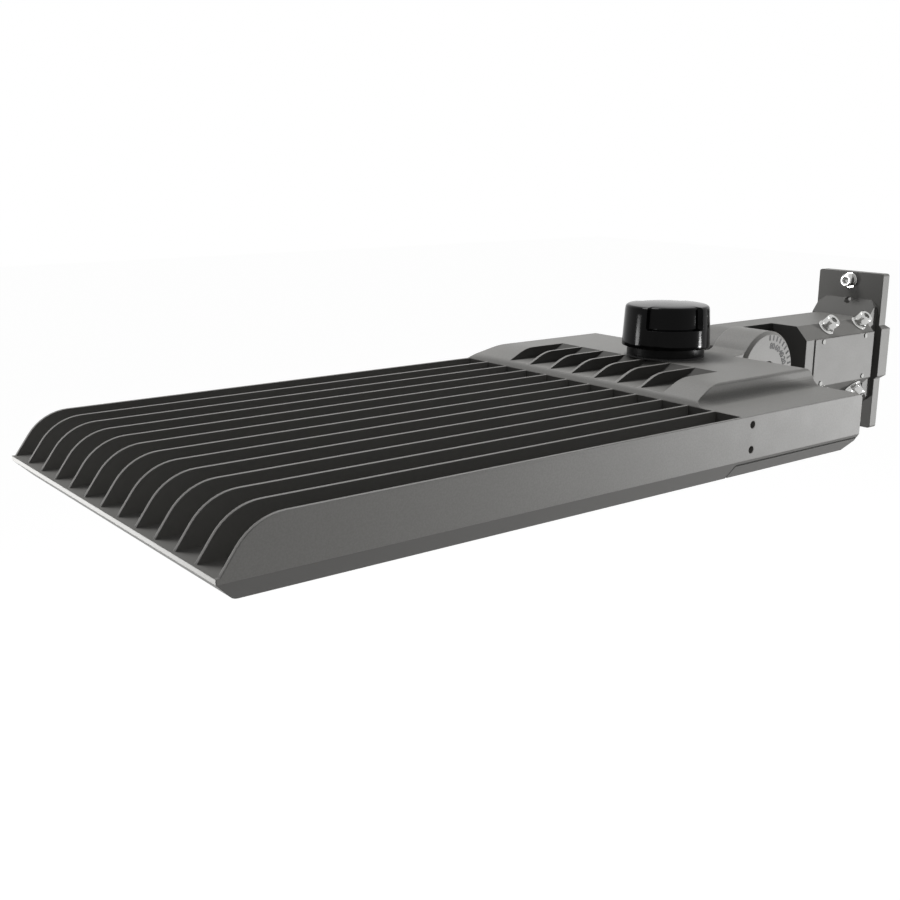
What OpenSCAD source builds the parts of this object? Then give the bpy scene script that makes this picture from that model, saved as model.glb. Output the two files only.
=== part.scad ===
// Shoebox area light: a finned head that tilts on a slip-fitter arm behind a pole plate.
// Millimetres. The origin is the middle of the wire entry, on the pole side of the plate.
// +X runs out along the head, +Y is the side with the wide shelf, +Z is up.
// The tilt axis is parallel to Y, at the height of the origin.

/* [Head] */
// Width over the side walls
head_w = 340; // [320:1:360]
// Length from the rear wall to the front lip
head_l = 606; // [580:1:650]
// Height of the side walls above the lip
wall_h = 35; // [32:0.5:40]
// Depth of the bevelled rim below the lip
rim_h = 14.5; // [12:0.5:16]
// How far the rim leans in at the sides
rim_in = 9.5; // [8:0.5:11]
// How far the rim leans in at the front
front_in = 15; // [12:0.5:17]
// Height of the wall tops above the tilt axis
top_z = 4; // [2:0.5:6]
// Thickness of the cast walls of the driver compartment
wall_t = 4; // [3:0.5:5]
// Thickness of the roof of the driver compartment
roof_t = 4; // [3.5:0.5:4.5]
// Thickness of the plate under the fins
base_t = 3.5; // [3:0.5:5]

/* [Fins] */
// Number of gaps between the fins, side walls included
fin_gaps = 12; // [11:1:13]
// Thickness of a fin and of a side wall beside the fins
fin_t = 2.8; // [2.4:0.1:3.6]
// Radius that turns the slanted nose into the flat top of a fin
nose_r = 40; // [36:1:44]
// Slant of the nose of a fin from level
nose_a = 54; // [50:1:58]

/* [Driver hump] */
// Height of the hump over the wall tops
hump_h = 15.3; // [14.5:0.1:17]
// Distance from the side wall to the top edge of the hump on the shelf side
hump_near_in = 52; // [48:1:56]
// Distance from the side wall to the top edge of the hump on the far side
hump_far_in = 24; // [20:1:28]
// Height of the steep step at the foot of the front slope
riser_h = 4.5; // [4:0.5:6]
// Run of the front slope
slope_run = 22; // [20:1:26]
// Radius of the shoulder between the front slope and the top
shoulder_r = 40; // [34:1:44]
// Depth of the grooves below the top of the hump
groove_d = 10.3; // [9.5:0.1:11]
// Length of the level part of a groove floor
groove_flat = 33.5; // [30:0.5:38]
// Radius with which a groove floor climbs to the top
groove_r = 79; // [74:1:84]
// Thickness of the ridge between two grooves
ridge_t = 3; // [2.5:0.1:4]

/* [Door] */
// Length of the driver compartment, from the rear wall to the foot of the front slope
comp_l = 157; // [153:0.5:161]
// How far the hinge of the door lies ahead of the front wall of the compartment
hinge_ahead = 4; // [3:0.1:5]
// How far the seam of the door lies below the lip
seam_drop = 3; // [2.5:0.1:3.5]
// Gap all round the door
seam_gap = 0.5; // [0.4:0.05:0.6]
// Thickness of the floor of the door
door_t = 3; // [2.5:0.1:3.5]
// Radius of the hinge bead at the front of the door
bead_r = 2.5; // [2.4:0.1:2.8]
// Radius of a hinge pin
hinge_pin_r = 1.2; // [1:0.1:1.4]
// Radius of a door screw
door_screw_r = 2.5; // [2.2:0.1:2.6]

/* [Knuckle] */
// Distance from the pole plate to the tilt axis
pivot_x = 202; // [198:1:210]
// Gap between the round end of the arm and the rear wall of the head
pivot_clear = 3; // [2.5:0.5:7]
// Radius of the knuckle drum
drum_r = 38.5; // [38:0.1:39]
// Radius of the pivot bolt
pivot_r = 6; // [5.5:0.1:6.2]

/* [Arm] */
// Half of the width of the arm
arm_hw = 41.6; // [41:0.1:43]
// Half of the height of the arm
arm_hh = 37; // [36.5:0.1:38]
// Width of the bevels along the arm
arm_bevel = 13; // [12:0.5:14]
// Distance from the pole plate to the rear end of the arm
arm_x0 = 30; // [29:0.5:32]
// Distance from the pole plate to the shoulder beside the drum
arm_x1 = 144; // [142:1:145]
// Radius of the tenon that the arm grips
tenon_r = 30.15; // [29:0.05:30.5]
// Radius of a set bolt
set_r = 4; // [3.5:0.1:4.2]

/* [Pole plate] */
// Half of the width of the plate
plate_hw = 38.4; // [37:0.1:40]
// Half of the height of the plate
plate_hh = 81.6; // [80:0.1:86]
// Thickness of the plate
plate_t = 10.9; // [10:0.1:12]
// How far the middle pad stands out behind the plate
pad_t = 4.8; // [4.5:0.1:5.2]
// Half of the spacing of the pole bolts
bolt_z = 72.7; // [72:0.1:74]
// Radius of a pole bolt
bolt_r = 4; // [3.5:0.1:4.2]
// Half of the spacing of the spare holes
spare_z = 51.4; // [51:0.1:54]
// Radius of a spare hole
spare_r = 3.5; // [3:0.1:4]
// Radius of the wire entry
wire_r = 11; // [9:0.5:12]

/* [Photocell socket and cap] */
// Distance from the tilt axis to the middle of the socket
socket_gap = 95; // [93:1:97]
// Distance from the middle of the head to the socket, away from the shelf
socket_shift = 4; // [2:0.5:6]
// Radius of the socket ring
ring_r = 35.5; // [34.5:0.5:36.5]
// Height of the socket ring
ring_h = 7.7; // [7:0.1:8.5]
// Radius of the cap at its foot
cap_r = 40.5; // [40:0.5:42]
// Height of the cap
cap_h = 38.9; // [37:0.1:41]
// How much smaller the radius of the cap is at the top
cap_draft = 2.2; // [1.5:0.1:2.6]
// Depth of the finger grips in the cap
grip_d = 4.6; // [4:0.1:5.2]

/* [Optics] */
// Width of the outer bar of the lens frame
bar_w = 14; // [13:0.5:15]
// Number of lenses along a panel
lens_nx = 7; // [5:1:8]
// Number of lenses across a panel
lens_ny = 5; // [4:1:6]
// Radius of the foot of a lens
lens_r = 7.5; // [6.5:0.1:8]
// Height of a lens
lens_h = 3.4; // [3:0.1:3.8]

/* [Driver] */
// Gap between each end of the driver and the wall of the hump
driver_end_gap = 6; // [4:0.5:10]
// Gap between the driver and the front wall of the compartment
driver_front_gap = 3.5; // [3:0.5:6]
// Height of the driver case
driver_h = 34; // [30:0.5:35]

/* [Hidden] */
$fn = 72;

paint = "#7d7c79";
black = "#151515";
zinc = "#d8d8d6";
brass = "#c9a24b";
rubber = "#2b2b2b";
clear = "#cfd6da";

// Overrun of every cut
over = 1;
// Clearance round a screw or pin in its hole
fit = 0.05;
// Clearance between parts that move past each other
play = 0.3;
// Segments of a rounded edge
edge_n = 6;

// Levels and places of the head
lip_z = top_z - wall_h;
bottom_z = lip_z - rim_h;
floor_z = lip_z + base_t;
hump_z = top_z + hump_h;
pivot_gap = arm_hh + pivot_clear;
rear_x = pivot_x + pivot_gap;
front_x = rear_x + head_l;
half_w = head_w / 2;
seam_z = lip_z - seam_drop;
comp_x = rear_x + comp_l;
hinge_x = comp_x + hinge_ahead;
hinge_z = bottom_z + bead_r;
tray_x = hinge_x + bead_r + seam_gap;
crossbar_t = 6.5;
front_wall_t = 6.5;
cavity_x0 = rear_x + wall_t;
cavity_x1 = comp_x - front_wall_t;
cavity_hw = half_w - wall_t - seam_drop * rim_in / rim_h;
rear_edge_r = 4;
hump_edge_r = 10;
pitch = (head_w - fin_t) / fin_gaps;

// Hump
hump_near = half_w - hump_near_in;
hump_far = half_w - hump_far_in;
riser_run = 3;
riser_edge_r = 10;
near_draft = 3;
near_foot_r = 10;
near_edge_r = 3;
far_edge_r = 24;
groove_z = hump_z - groove_d;
groove_x1 = comp_x - groove_flat;
groove_rise = sqrt(groove_r * groove_r - (groove_r - groove_d) * (groove_r - groove_d));
groove_tip_x = groove_x1 - groove_rise;
grooves = 7;
first_groove_share = -3.5;
hump_cavity_x1 = groove_tip_x - wall_t;
hump_cavity_far = hump_far - wall_t;
hump_cavity_near = hump_near - wall_t;
accessory_hole_r = 2.9;
accessory_hole_d = 3.2;
accessory_in = 10.5;
accessory_x = comp_x - accessory_in;
accessory_drop = 7;
accessory_step = 20;

// Optical recess
front_edge_r = 8;
recess_wall = 4;
recess_x0 = tray_x + crossbar_t;
recess_x1 = front_x - front_in - recess_wall;
recess_hw = half_w - rim_in - recess_wall;
board_t = 1.6;
chip_t = 0.7;
chip_w = 3;
gasket_t = 3.3;
lens_plate_t = 3;
frame_t = 2.2;
panel_lap = 5;
mid_bar_w = 18;
frame_x0 = recess_x0 + play;
frame_x1 = recess_x1 - play;
frame_hw = recess_hw - play;
panel_gap = mid_bar_w - 2 * panel_lap;
panel_in = bar_w - panel_lap;
panel_lx = (frame_x1 - frame_x0 - 2 * panel_in - panel_gap) / 2;
panel_ly = (2 * frame_hw - 2 * panel_in - panel_gap) / 2;
window_lx = panel_lx - 2 * panel_lap;
window_ly = panel_ly - 2 * panel_lap;
lens_z = lip_z - gasket_t;
lens_foot_z = lens_z - lens_plate_t;
board_in = panel_lap + fit;
lens_step_x = window_lx / lens_nx;
lens_step_y = window_ly / lens_ny;
lens_sphere_r = (lens_r * lens_r + lens_h * lens_h) / (2 * lens_h);
frame_screw_r = 2;
frame_screw_head_r = 3.8;
frame_screw_head_h = 1.6;
frame_screw_grip = 2.6;

// Knuckle and its bolt
drum_y1 = arm_hw;
cheek_y = -2 * play;
drum_rim = 3;
pocket_r1 = 29;
pocket_r0 = 12;
washer_t = 2;
pivot_head_r = 9;
pivot_head_h = 12;
pivot_nut_h = 10.8;
pivot_nut_r = 11;
pivot_end_in = 1;
counterbore_r = 10;
counterbore_y = drum_y1 - pivot_head_h - washer_t - 2 * play;
drum_web = 3;
pocket_d = counterbore_y - drum_web;
neck_fillet_r = 12;
neck_bite = 0.2;
neck_foot_z = -33;
neck_hole_wall = 3;
neck_hole_y = pocket_d / 2;
neck_hole_r = pocket_d / 2 - neck_hole_wall;
bushing_wall = 2;
bushing_flange = 2;
bushing_l = 9;
window_r = 7.5;
window_reach = 20;
channel_r = 11;
channel_y = -16;
ring_pad_in = 1;
ring_pad_r = arm_hh - ring_pad_in;
ring_pad_w = 6;
ring_pad_t = 2;

// Arm
bore_depth = 94;
bolt_xs = [45, 101];
set_seat = (arm_hw + arm_hh - arm_bevel) / sqrt(2);
set_head_r = 7.1;
set_head_h = 8;
socket_r = 3.5;
socket_d = 4.5;
jam_h = 5;
jam_flange_r = 8.75;
jam_flange_h = 1.5;
jam_hex_r = 7.5;
side_plate_t = 1;
side_plate_x1 = 130;
side_pin_xs = [45, 117];
side_pin_edge = 3;
side_pin_z = arm_hh - arm_bevel - side_pin_edge;
side_pin_r = 1.6;
side_pin_h = 0.8;
side_pin_grip = 4;
tenon_end_x = 118;
tenon_wall = 6;

// Pole plate
plate_x0 = pad_t;
plate_x1 = pad_t + plate_t;
pad_over = 0.2;
pad_hw = arm_hw + pad_over;
pad_hh = 25;
pad_bevel = 3;
gusset = 17;
collar_hw = 34;
corner_r = 2.5;
pole_gasket_r1 = 20;
pole_gasket_r0 = 15;
pole_gasket_t = 2.5;
pole_washer_r = 8.2;
pole_washer_t = 1.6;
pole_head_r = 6.6;
pole_head_h = 8;
stud_out = 30;
thread_in = 0.25;
stud_r = bolt_r - thread_in;
stud_gap = 0.5;

// Door. Its front edge runs from a point over the hinge to a tangent of the bead.
door_top_z = seam_z - seam_gap;
lean_a = asin(bead_r / (door_top_z - hinge_z));
seam_corner_x = hinge_x
    + (bead_r + seam_gap - (seam_z - hinge_z) * sin(lean_a)) / cos(lean_a);
seam_end_z = hinge_z
    + (bead_r + seam_gap - (tray_x - hinge_x) * cos(lean_a)) / sin(lean_a);
door_rear_bevel = 10.5;
door_rear_rise = 8;
door_rim_w = 8;
door_floor_z = bottom_z + door_t;
lug_in = 60;
lug_ys = [lug_in - half_w, half_w - lug_in];
lug_w = 14;
lug_gap = 0.4;
lug_reach = 5;
hinge_pin_l = 30;
door_gasket_w = 4;
door_gasket_h = 3;
door_screw_in = 20;
door_screw_side = 24;
door_screw_head_r = 4.5;
door_screw_head_h = 3;
door_screw_grip = 7;
door_boss_r = 7;
sway = 0.65;
door_screw_xy = [rear_x + door_screw_in, half_w - door_screw_side];

// Photocell socket and cap
socket_x = pivot_x + socket_gap;
socket_y = -socket_shift;
socket_gasket_t = 1.5;
socket_foot_z = hump_z + socket_gasket_t + play;
socket_top_z = socket_foot_z + ring_h;
socket_body_r = 28;
socket_depth = 24;
lock_ring_t = 5;
lock_ring_w = 4;
slot_depth = 14;
slot_d = 4;
blade_ring_r = 20;
blade_t = 2;
blade_a = 30;
twist_a = 25;
slot_ease_a = 2;
blade_l = 12.5;
blade_root = 6;
contact_h = 4;
cap_z = socket_top_z + play;
cap_gasket_t = 2;
cap_gasket_r0 = 26;
cap_gasket_r1 = 32;
cap_edge_r = 3;
cap_crown = 1.6;
grip_start_a = 14;
grip_sweep_a = 83;
grip_foot_h = 18;

// Parts in the driver compartment
driver_ceiling_z = groove_z - roof_t;
driver_gap = 1.5;
driver_x0 = socket_x + socket_body_r + lock_ring_w + driver_gap;
driver_w = cavity_x1 - wall_t - driver_front_gap - driver_x0;
driver_flange_l = 12;
driver_l = hump_cavity_near + hump_cavity_far - 2 * (driver_flange_l + driver_end_gap);
driver_y = (hump_cavity_near - hump_cavity_far) / 2;
driver_flange_t = 3;
driver_lip = 1.5;
driver_screw_r = 2;
driver_screw_head_r = 3.8;
driver_screw_head_h = 2.4;
driver_screw_grip = 3;
ceiling_z = hump_z - roof_t;
surge_front_gap = 13.5;
surge_l = hump_cavity_x1 - cavity_x0 - 2 * wall_t - surge_front_gap;
surge_w = 40;
surge_h = 28;
surge_wall_gap = 17;
surge_y = surge_wall_gap + surge_w / 2 - hump_cavity_far;
surge_edge = 3;
terminal_l = 46;
terminal_w = 22;
terminal_h = 18;
terminal_wall_gap = 13;
terminal_y = hump_cavity_near - terminal_wall_gap - terminal_l / 2;
terminal_ways = 3;
terminal_hole_r = 2.2;
terminal_hole_d = 8;
shelf_ceiling_z = top_z - roof_t;
ground_r = 2.5;
ground_head_r = 4.5;
ground_head_h = 3;
ground_grip = 3;
ground_xy = [rear_x + 45, half_w - 30];
vent_in = 70;
vent_y = vent_in - half_w;
vent_z = -14;
vent_r = 6;
vent_head_r = 9;
vent_head_h = 4;

// Points of an arc round c, from angle a0 to angle a1
function arc(c, r, a0, a1, n) =
    [for (i = [0:n]) c + r * [cos(a0 + (a1 - a0) * i / n), sin(a0 + (a1 - a0) * i / n)]];

// Points that round the corner q between p and s with radius r
function corner(p, q, s, r) =
    let (
        u = (p - q) / norm(p - q),
        v = (s - q) / norm(s - q),
        inner = acos(u * v),
        c = q + (u + v) / norm(u + v) * r / sin(inner / 2),
        first = q + u * r / tan(inner / 2) - c,
        turn = sign(u[0] * v[1] - u[1] * v[0]) * (180 - inner),
        start = atan2(first[1], first[0])
    )
    arc(c, r, start, start - turn, edge_n);

// An outline whose corners are rounded with the radii given beside them
function rounded(points, radii) =
    let (n = len(points))
    [for (i = [0:n - 1]) each
        radii[i] == 0 ? [points[i]] :
        corner(points[(i + n - 1) % n], points[i], points[(i + 1) % n], radii[i])];

// Corners of a bevelled section from its half width, half height and bevel
function octagon(hw, hh, b) =
    [[hw, b - hh], [hw, hh - b], [hw - b, hh], [b - hw, hh],
     [-hw, hh - b], [-hw, b - hh], [b - hw, -hh], [hw - b, -hh]];

// Stretch a drawing of Y and Z along X
module along_x(x0, x1)
    translate([x0, 0, 0]) rotate([90, 0, 90]) linear_extrude(x1 - x0) children();

// Stretch a drawing of X and Z along Y
module along_y(y0, y1)
    translate([0, y1, 0]) rotate([90, 0, 0]) linear_extrude(y1 - y0) children();

// A block between two opposite corners
module block(low, high)
    translate(low) cube(high - low);

// A round bar from a point along +X, +Y or +Z
module bar_x(p, r, l)
    translate(p) rotate([0, 90, 0]) cylinder(r = r, h = l);

module bar_y(p, r, l)
    translate(p) rotate([-90, 0, 0]) cylinder(r = r, h = l);

module bar_z(p, r, l)
    translate(p) cylinder(r = r, h = l);

// Ring with its axis along Z
module ring_z(r0, r1, h)
    difference() {
        cylinder(r = r1, h = h);
        translate([0, 0, -over]) cylinder(r = r0, h = h + 2 * over);
    }

// Cap screw pointing down -Z from its seat, with a hex socket in the head
module cap_screw(r, l, head_r, head_h)
    difference() {
        union() {
            translate([0, 0, -l]) cylinder(r = r, h = l + over);
            cylinder(r = head_r, h = head_h);
        }
        translate([0, 0, head_h - socket_d]) cylinder(r = socket_r, h = socket_d + over, $fn = 6);
    }

// Outline of the rim and walls, seen along X
module rim_section(z1)
    polygon([[-half_w, z1], [-half_w, lip_z], [rim_in - half_w, bottom_z],
        [half_w - rim_in, bottom_z], [half_w, lip_z], [half_w, z1]]);

// Side outline of a fin: a slanted nose that an arc turns into the flat top
module fin_profile() {
    corner_run = wall_h / tan(nose_a);
    tangent = nose_r * tan(nose_a / 2);
    arc_start = [front_x - corner_run + tangent * cos(nose_a), top_z - tangent * sin(nose_a)];
    arc_end_x = front_x - corner_run - tangent;
    difference() {
        polygon([[comp_x - fin_t, lip_z], [front_x, lip_z], [front_x, top_z],
            [comp_x - fin_t, top_z]]);
        difference() {
            polygon([[front_x, lip_z], arc_start, [arc_end_x, top_z], [arc_end_x, top_z + over],
                [front_x + over, top_z + over], [front_x + over, lip_z]]);
            translate([arc_end_x, top_z - nose_r]) circle(r = nose_r);
        }
    }
}

module fins()
    intersection() {
        along_y(-half_w, half_w) fin_profile();
        union() {
            for (i = [0:fin_gaps])
                block([comp_x - fin_t, i * pitch - half_w, lip_z],
                    [front_x, i * pitch - half_w + fin_t, top_z]);
        }
    }

// Plate under the fins, with the bevelled rim that hangs below it
module tray()
    intersection() {
        along_x(comp_x, front_x) rim_section(floor_z);
        along_y(-half_w, half_w)
            polygon(rounded([[tray_x, bottom_z], [front_x - front_in, bottom_z],
                [front_x, lip_z], [front_x, floor_z], [comp_x, floor_z], [comp_x, lip_z],
                [tray_x, lip_z]], [0, front_edge_r, 0, 0, 0, 0, 0]));
    }

// Walls of the driver compartment, down to the seam of the door
module compartment()
    intersection() {
        along_x(rear_x, tray_x) rim_section(top_z);
        along_y(-half_w, half_w)
            polygon(rounded([[rear_x, seam_z], [rear_x, top_z], [comp_x, top_z],
                [comp_x, floor_z], [tray_x, floor_z], [tray_x, seam_end_z],
                [seam_corner_x, seam_z]], [0, rear_edge_r, 0, 0, 0, 0, 0]));
    }

// Raised roof over the driver: steep on the shelf side, sloped to the wall on the far side
module hump()
    intersection() {
        along_y(-half_w, half_w)
            polygon(rounded([[rear_x, seam_z], [rear_x, hump_z],
                [comp_x - riser_run - slope_run, hump_z],
                [comp_x - riser_run, top_z + riser_h], [comp_x, top_z], [comp_x, seam_z]],
                [0, hump_edge_r, shoulder_r, riser_edge_r, 0, 0]));
        along_x(rear_x, comp_x)
            polygon(rounded([[-half_w, top_z - roof_t], [-half_w, top_z], [-hump_far, hump_z],
                [hump_near, hump_z], [hump_near + near_draft, top_z],
                [half_w - wall_t, top_z], [half_w - wall_t, top_z - roof_t]],
                [0, 0, far_edge_r, near_edge_r, near_foot_r, 0, 0]));
    }

// Side outline of a groove: a level floor that an arc lifts to the top of the hump
module groove_profile() {
    intersection() {
        translate([groove_x1, groove_z + groove_r]) circle(r = groove_r);
        polygon([[groove_tip_x - over, groove_z], [groove_x1, groove_z],
            [groove_x1, hump_z + over], [groove_tip_x - over, hump_z + over]]);
    }
    polygon([[groove_x1, groove_z], [comp_x + over, groove_z],
        [comp_x + over, hump_z + over], [groove_x1, hump_z + over]]);
}

module grooves_cut()
    for (i = [0:grooves - 1])
        translate([0, (first_groove_share + i) * pitch, 0])
            along_y((ridge_t - pitch) / 2, (pitch - ridge_t) / 2) groove_profile();

// Side outline of the knuckle: the drum, and the neck that blends into the hump
module knuckle_profile() {
    rise = hump_z + neck_fillet_r;
    span = drum_r + neck_fillet_r - neck_bite;
    reach = sqrt(span * span - rise * rise);
    translate([pivot_x, 0]) {
        circle(r = drum_r);
        difference() {
            polygon([[0, 0], [reach, rise], [reach, hump_z],
                [pivot_gap + hump_edge_r, hump_z], [pivot_gap + wall_t, hump_z - roof_t],
                [pivot_gap + wall_t, neck_foot_z],
                [drum_r / 2, neck_foot_z]]);
            translate([reach, rise]) circle(r = neck_fillet_r);
        }
    }
}

// The drum, with a bevelled rim round its face
module knuckle()
    intersection() {
        along_y(0, drum_y1) knuckle_profile();
        union() {
            block([pivot_x, 0, neck_foot_z],
                [rear_x + hump_edge_r, drum_y1 - drum_rim, drum_r]);
            translate([pivot_x, 0, 0]) rotate([-90, 0, 0]) {
                cylinder(r = drum_r, h = drum_y1 - drum_rim);
                translate([0, 0, drum_y1 - drum_rim])
                    cylinder(r1 = drum_r, r2 = drum_r - drum_rim, h = drum_rim);
            }
        }
    }

// Hollows of the compartment: the box, the space under the hump and that under the grooves
module compartment_cavity() {
    block([cavity_x0, -cavity_hw, bottom_z], [cavity_x1, cavity_hw, shelf_ceiling_z]);
    block([cavity_x0, -hump_cavity_far, shelf_ceiling_z - over],
        [hump_cavity_x1, hump_cavity_near, ceiling_z]);
    block([hump_cavity_x1 - over, -hump_cavity_far, shelf_ceiling_z - over],
        [cavity_x1 - wall_t, hump_cavity_near, driver_ceiling_z]);
}

module optical_recess()
    block([recess_x0, -recess_hw, bottom_z - over], [recess_x1, recess_hw, lip_z]);

module at_door_screws()
    for (side = [-1, 1]) translate([door_screw_xy[0], side * door_screw_xy[1], 0]) children();

module at_frame_screws()
    for (x = [frame_x0 + panel_in / 2, (frame_x0 + frame_x1) / 2, frame_x1 - panel_in / 2])
        for (y = [panel_in / 2 - frame_hw, 0, frame_hw - panel_in / 2])
            translate([x, y, 0]) children();

module at_panels()
    for (x = [frame_x0 + panel_in, frame_x1 - panel_in - panel_lx])
        for (y = [panel_in - frame_hw, frame_hw - panel_in - panel_ly])
            translate([x, y, 0]) children();

module at_driver_screws()
    for (x = [driver_w / 4, 3 * driver_w / 4])
        for (side = [-1, 1])
            translate([driver_x0 + x, driver_y + side * (driver_l + driver_flange_l) / 2, 0])
                children();

module hinge_lugs()
    for (y = lug_ys)
        along_y(y - lug_w / 2, y + lug_w / 2) {
            translate([hinge_x, hinge_z]) circle(r = bead_r);
            polygon([[hinge_x, bottom_z], [tray_x + over, bottom_z],
                [tray_x + over, hinge_z + bead_r], [hinge_x, hinge_z + bead_r]]);
        }

module housing()
    color(paint) difference() {
        union() {
            difference() {
                union() {
                    tray();
                    fins();
                    compartment();
                    hump();
                }
                compartment_cavity();
                optical_recess();
                grooves_cut();
            }
            knuckle();
            hinge_lugs();
            at_door_screws() bar_z([0, 0, seam_z], door_boss_r, shelf_ceiling_z - seam_z + fit);
        }
        at_door_screws() bar_z([0, 0, seam_z - over], door_screw_r + sway,
            door_screw_grip + 2 * over);
        at_frame_screws() bar_z([0, 0, lip_z - over], frame_screw_r + fit,
            frame_screw_grip + over);
        at_driver_screws() bar_z([0, 0, driver_ceiling_z - over], driver_screw_r + fit,
            driver_screw_grip + over);
        for (y = lug_ys)
            bar_y([hinge_x, y - lug_w, hinge_z], hinge_pin_r + fit, 2 * lug_w);
        bar_z([socket_x, socket_y, ceiling_z - over], socket_body_r + play, roof_t + 2 * over);
        bar_z([socket_x, socket_y, driver_ceiling_z - over], socket_body_r + lock_ring_w + play,
            ceiling_z - driver_ceiling_z + over);
        bar_y([pivot_x, -over, 0], pivot_r + fit, drum_y1 + 2 * over);
        bar_y([pivot_x, counterbore_y, 0], counterbore_r, drum_y1);
        translate([pivot_x, -over, 0]) rotate([-90, 0, 0])
            ring_z(pocket_r0, pocket_r1, pocket_d + over);
        bar_x([pivot_x + pocket_r0, neck_hole_y, 0], neck_hole_r, pivot_gap);
        bar_x([rear_x - over, vent_y, vent_z], vent_r + fit, wall_t + 2 * over);
        bar_z([ground_xy[0], ground_xy[1], shelf_ceiling_z - over], ground_r + fit,
            ground_grip + over);
        for (side = [-1, 1])
            for (step = [0, 1])
                bar_y([accessory_x, side * half_w - accessory_hole_d,
                    top_z - accessory_drop - step * accessory_step],
                    accessory_hole_r, 2 * accessory_hole_d);
    }

module led_boards()
    color("#e9ece9") at_panels()
        block([board_in, board_in, lip_z - board_t],
            [panel_lx - board_in, panel_ly - board_in, lip_z]);

module at_lenses()
    at_panels()
        for (i = [0:lens_nx - 1])
            for (j = [0:lens_ny - 1])
                translate([panel_lap + (i + 1 / 2) * lens_step_x,
                    panel_lap + (j + 1 / 2) * lens_step_y, 0])
                    children();

module led_chips()
    color("#f3d94e") at_lenses()
        translate([-chip_w / 2, -chip_w / 2, lip_z - board_t - chip_t])
            cube([chip_w, chip_w, chip_t]);

module lens_gasket()
    color(rubber) difference() {
        block([frame_x0, -frame_hw, lens_z], [frame_x1, frame_hw, lip_z]);
        at_panels() block([panel_lap, panel_lap, lens_z - over],
            [panel_lx - panel_lap, panel_ly - panel_lap, lip_z + over]);
        at_frame_screws() bar_z([0, 0, lens_z - over], frame_screw_r + fit,
            gasket_t + 2 * over);
    }

// One clear panel carries a row and column grid of domed lenses
module lens_panels()
    color(clear) at_panels() {
        block([0, 0, lens_foot_z], [panel_lx, panel_ly, lens_z]);
        for (i = [0:lens_nx - 1])
            for (j = [0:lens_ny - 1])
                translate([panel_lap + (i + 1 / 2) * lens_step_x,
                    panel_lap + (j + 1 / 2) * lens_step_y, lens_foot_z])
                    intersection() {
                        translate([0, 0, lens_sphere_r - lens_h]) sphere(r = lens_sphere_r);
                        translate([0, 0, -lens_h]) cylinder(r = lens_r, h = lens_h + fit);
                    }
    }

module lens_frame()
    color(paint) difference() {
        block([frame_x0, -frame_hw, lens_foot_z - frame_t], [frame_x1, frame_hw, lens_foot_z]);
        at_panels() block([panel_lap, panel_lap, lens_foot_z - frame_t - over],
            [panel_lx - panel_lap, panel_ly - panel_lap, lens_foot_z + over]);
        at_frame_screws() bar_z([0, 0, lens_foot_z - frame_t - over], frame_screw_r + fit,
            frame_t + 2 * over);
    }

module frame_screws()
    color(zinc) at_frame_screws()
        translate([0, 0, lens_foot_z - frame_t]) {
            bar_z([0, 0, 0], frame_screw_r,
                frame_t + lens_plate_t + gasket_t + frame_screw_grip - fit);
            bar_z([0, 0, -frame_screw_head_h], frame_screw_head_r, frame_screw_head_h);
        }

module led_driver()
    color("#d9d9d4") difference() {
        translate([driver_x0, driver_y, driver_ceiling_z]) {
            along_y(-driver_l / 2, driver_l / 2)
                polygon(rounded([[0, -driver_h], [0, 0], [driver_w, 0], [driver_w, -driver_h]],
                    [driver_lip, driver_lip, driver_lip, driver_lip]));
            block([driver_lip, -driver_l / 2 - driver_flange_l, -driver_flange_t],
                [driver_w - driver_lip, driver_l / 2 + driver_flange_l, 0]);
        }
        at_driver_screws() bar_z([0, 0, driver_ceiling_z - driver_flange_t - over],
            driver_screw_r + fit, driver_flange_t + 2 * over);
    }

module driver_screws()
    color(zinc) at_driver_screws()
        translate([0, 0, driver_ceiling_z - driver_flange_t]) {
            bar_z([0, 0, 0], driver_screw_r, driver_flange_t + driver_screw_grip - fit);
            bar_z([0, 0, -driver_screw_head_h], driver_screw_head_r, driver_screw_head_h);
        }

module surge_protector()
    color("#3f5f8f") translate([cavity_x0 + wall_t, surge_y, ceiling_z])
        along_x(0, surge_l)
            polygon(rounded([[-surge_w / 2, 0], [surge_w / 2, 0], [surge_w / 2, -surge_h],
                [-surge_w / 2, -surge_h]], [0, 0, surge_edge, surge_edge]));

module terminal_block()
    color("#ecebe4") translate([cavity_x0 + wall_t, terminal_y, ceiling_z]) difference() {
        block([0, -terminal_l / 2, -terminal_h], [terminal_w, terminal_l / 2, 0]);
        for (i = [0:terminal_ways - 1])
            translate([0, terminal_l * ((i + 1 / 2) / terminal_ways - 1 / 2), -terminal_h]) {
                bar_z([terminal_w / 2, 0, -over], terminal_hole_r, terminal_hole_d + over);
                bar_x([-over, 0, terminal_h / 2], terminal_hole_r, terminal_hole_d + over);
            }
    }

module ground_screw()
    color("#3f8f4f") translate([ground_xy[0], ground_xy[1], shelf_ceiling_z]) {
        bar_z([0, 0, 0], ground_r, ground_grip - fit);
        bar_z([0, 0, -ground_head_h], ground_head_r, ground_head_h);
    }

module wire_bushing()
    color(rubber) difference() {
        union() {
            bar_x([cavity_x0 - bushing_l, neck_hole_y, 0], neck_hole_r - fit, bushing_l + fit);
            bar_x([cavity_x0, neck_hole_y, 0], neck_hole_r + bushing_wall, bushing_flange);
        }
        bar_x([cavity_x0 - bushing_l - over, neck_hole_y, 0], neck_hole_r - bushing_wall,
            bushing_l + bushing_flange + 2 * over);
    }

module breather_vent()
    color(black) {
        bar_x([rear_x, vent_y, vent_z], vent_r, wall_t + over);
        bar_x([rear_x - vent_head_h, vent_y, vent_z], vent_head_r, vent_head_h);
    }

module receptacle_gasket()
    color(rubber) translate([socket_x, socket_y, hump_z])
        ring_z(socket_body_r + 2 * play, ring_r, socket_gasket_t);

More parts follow.
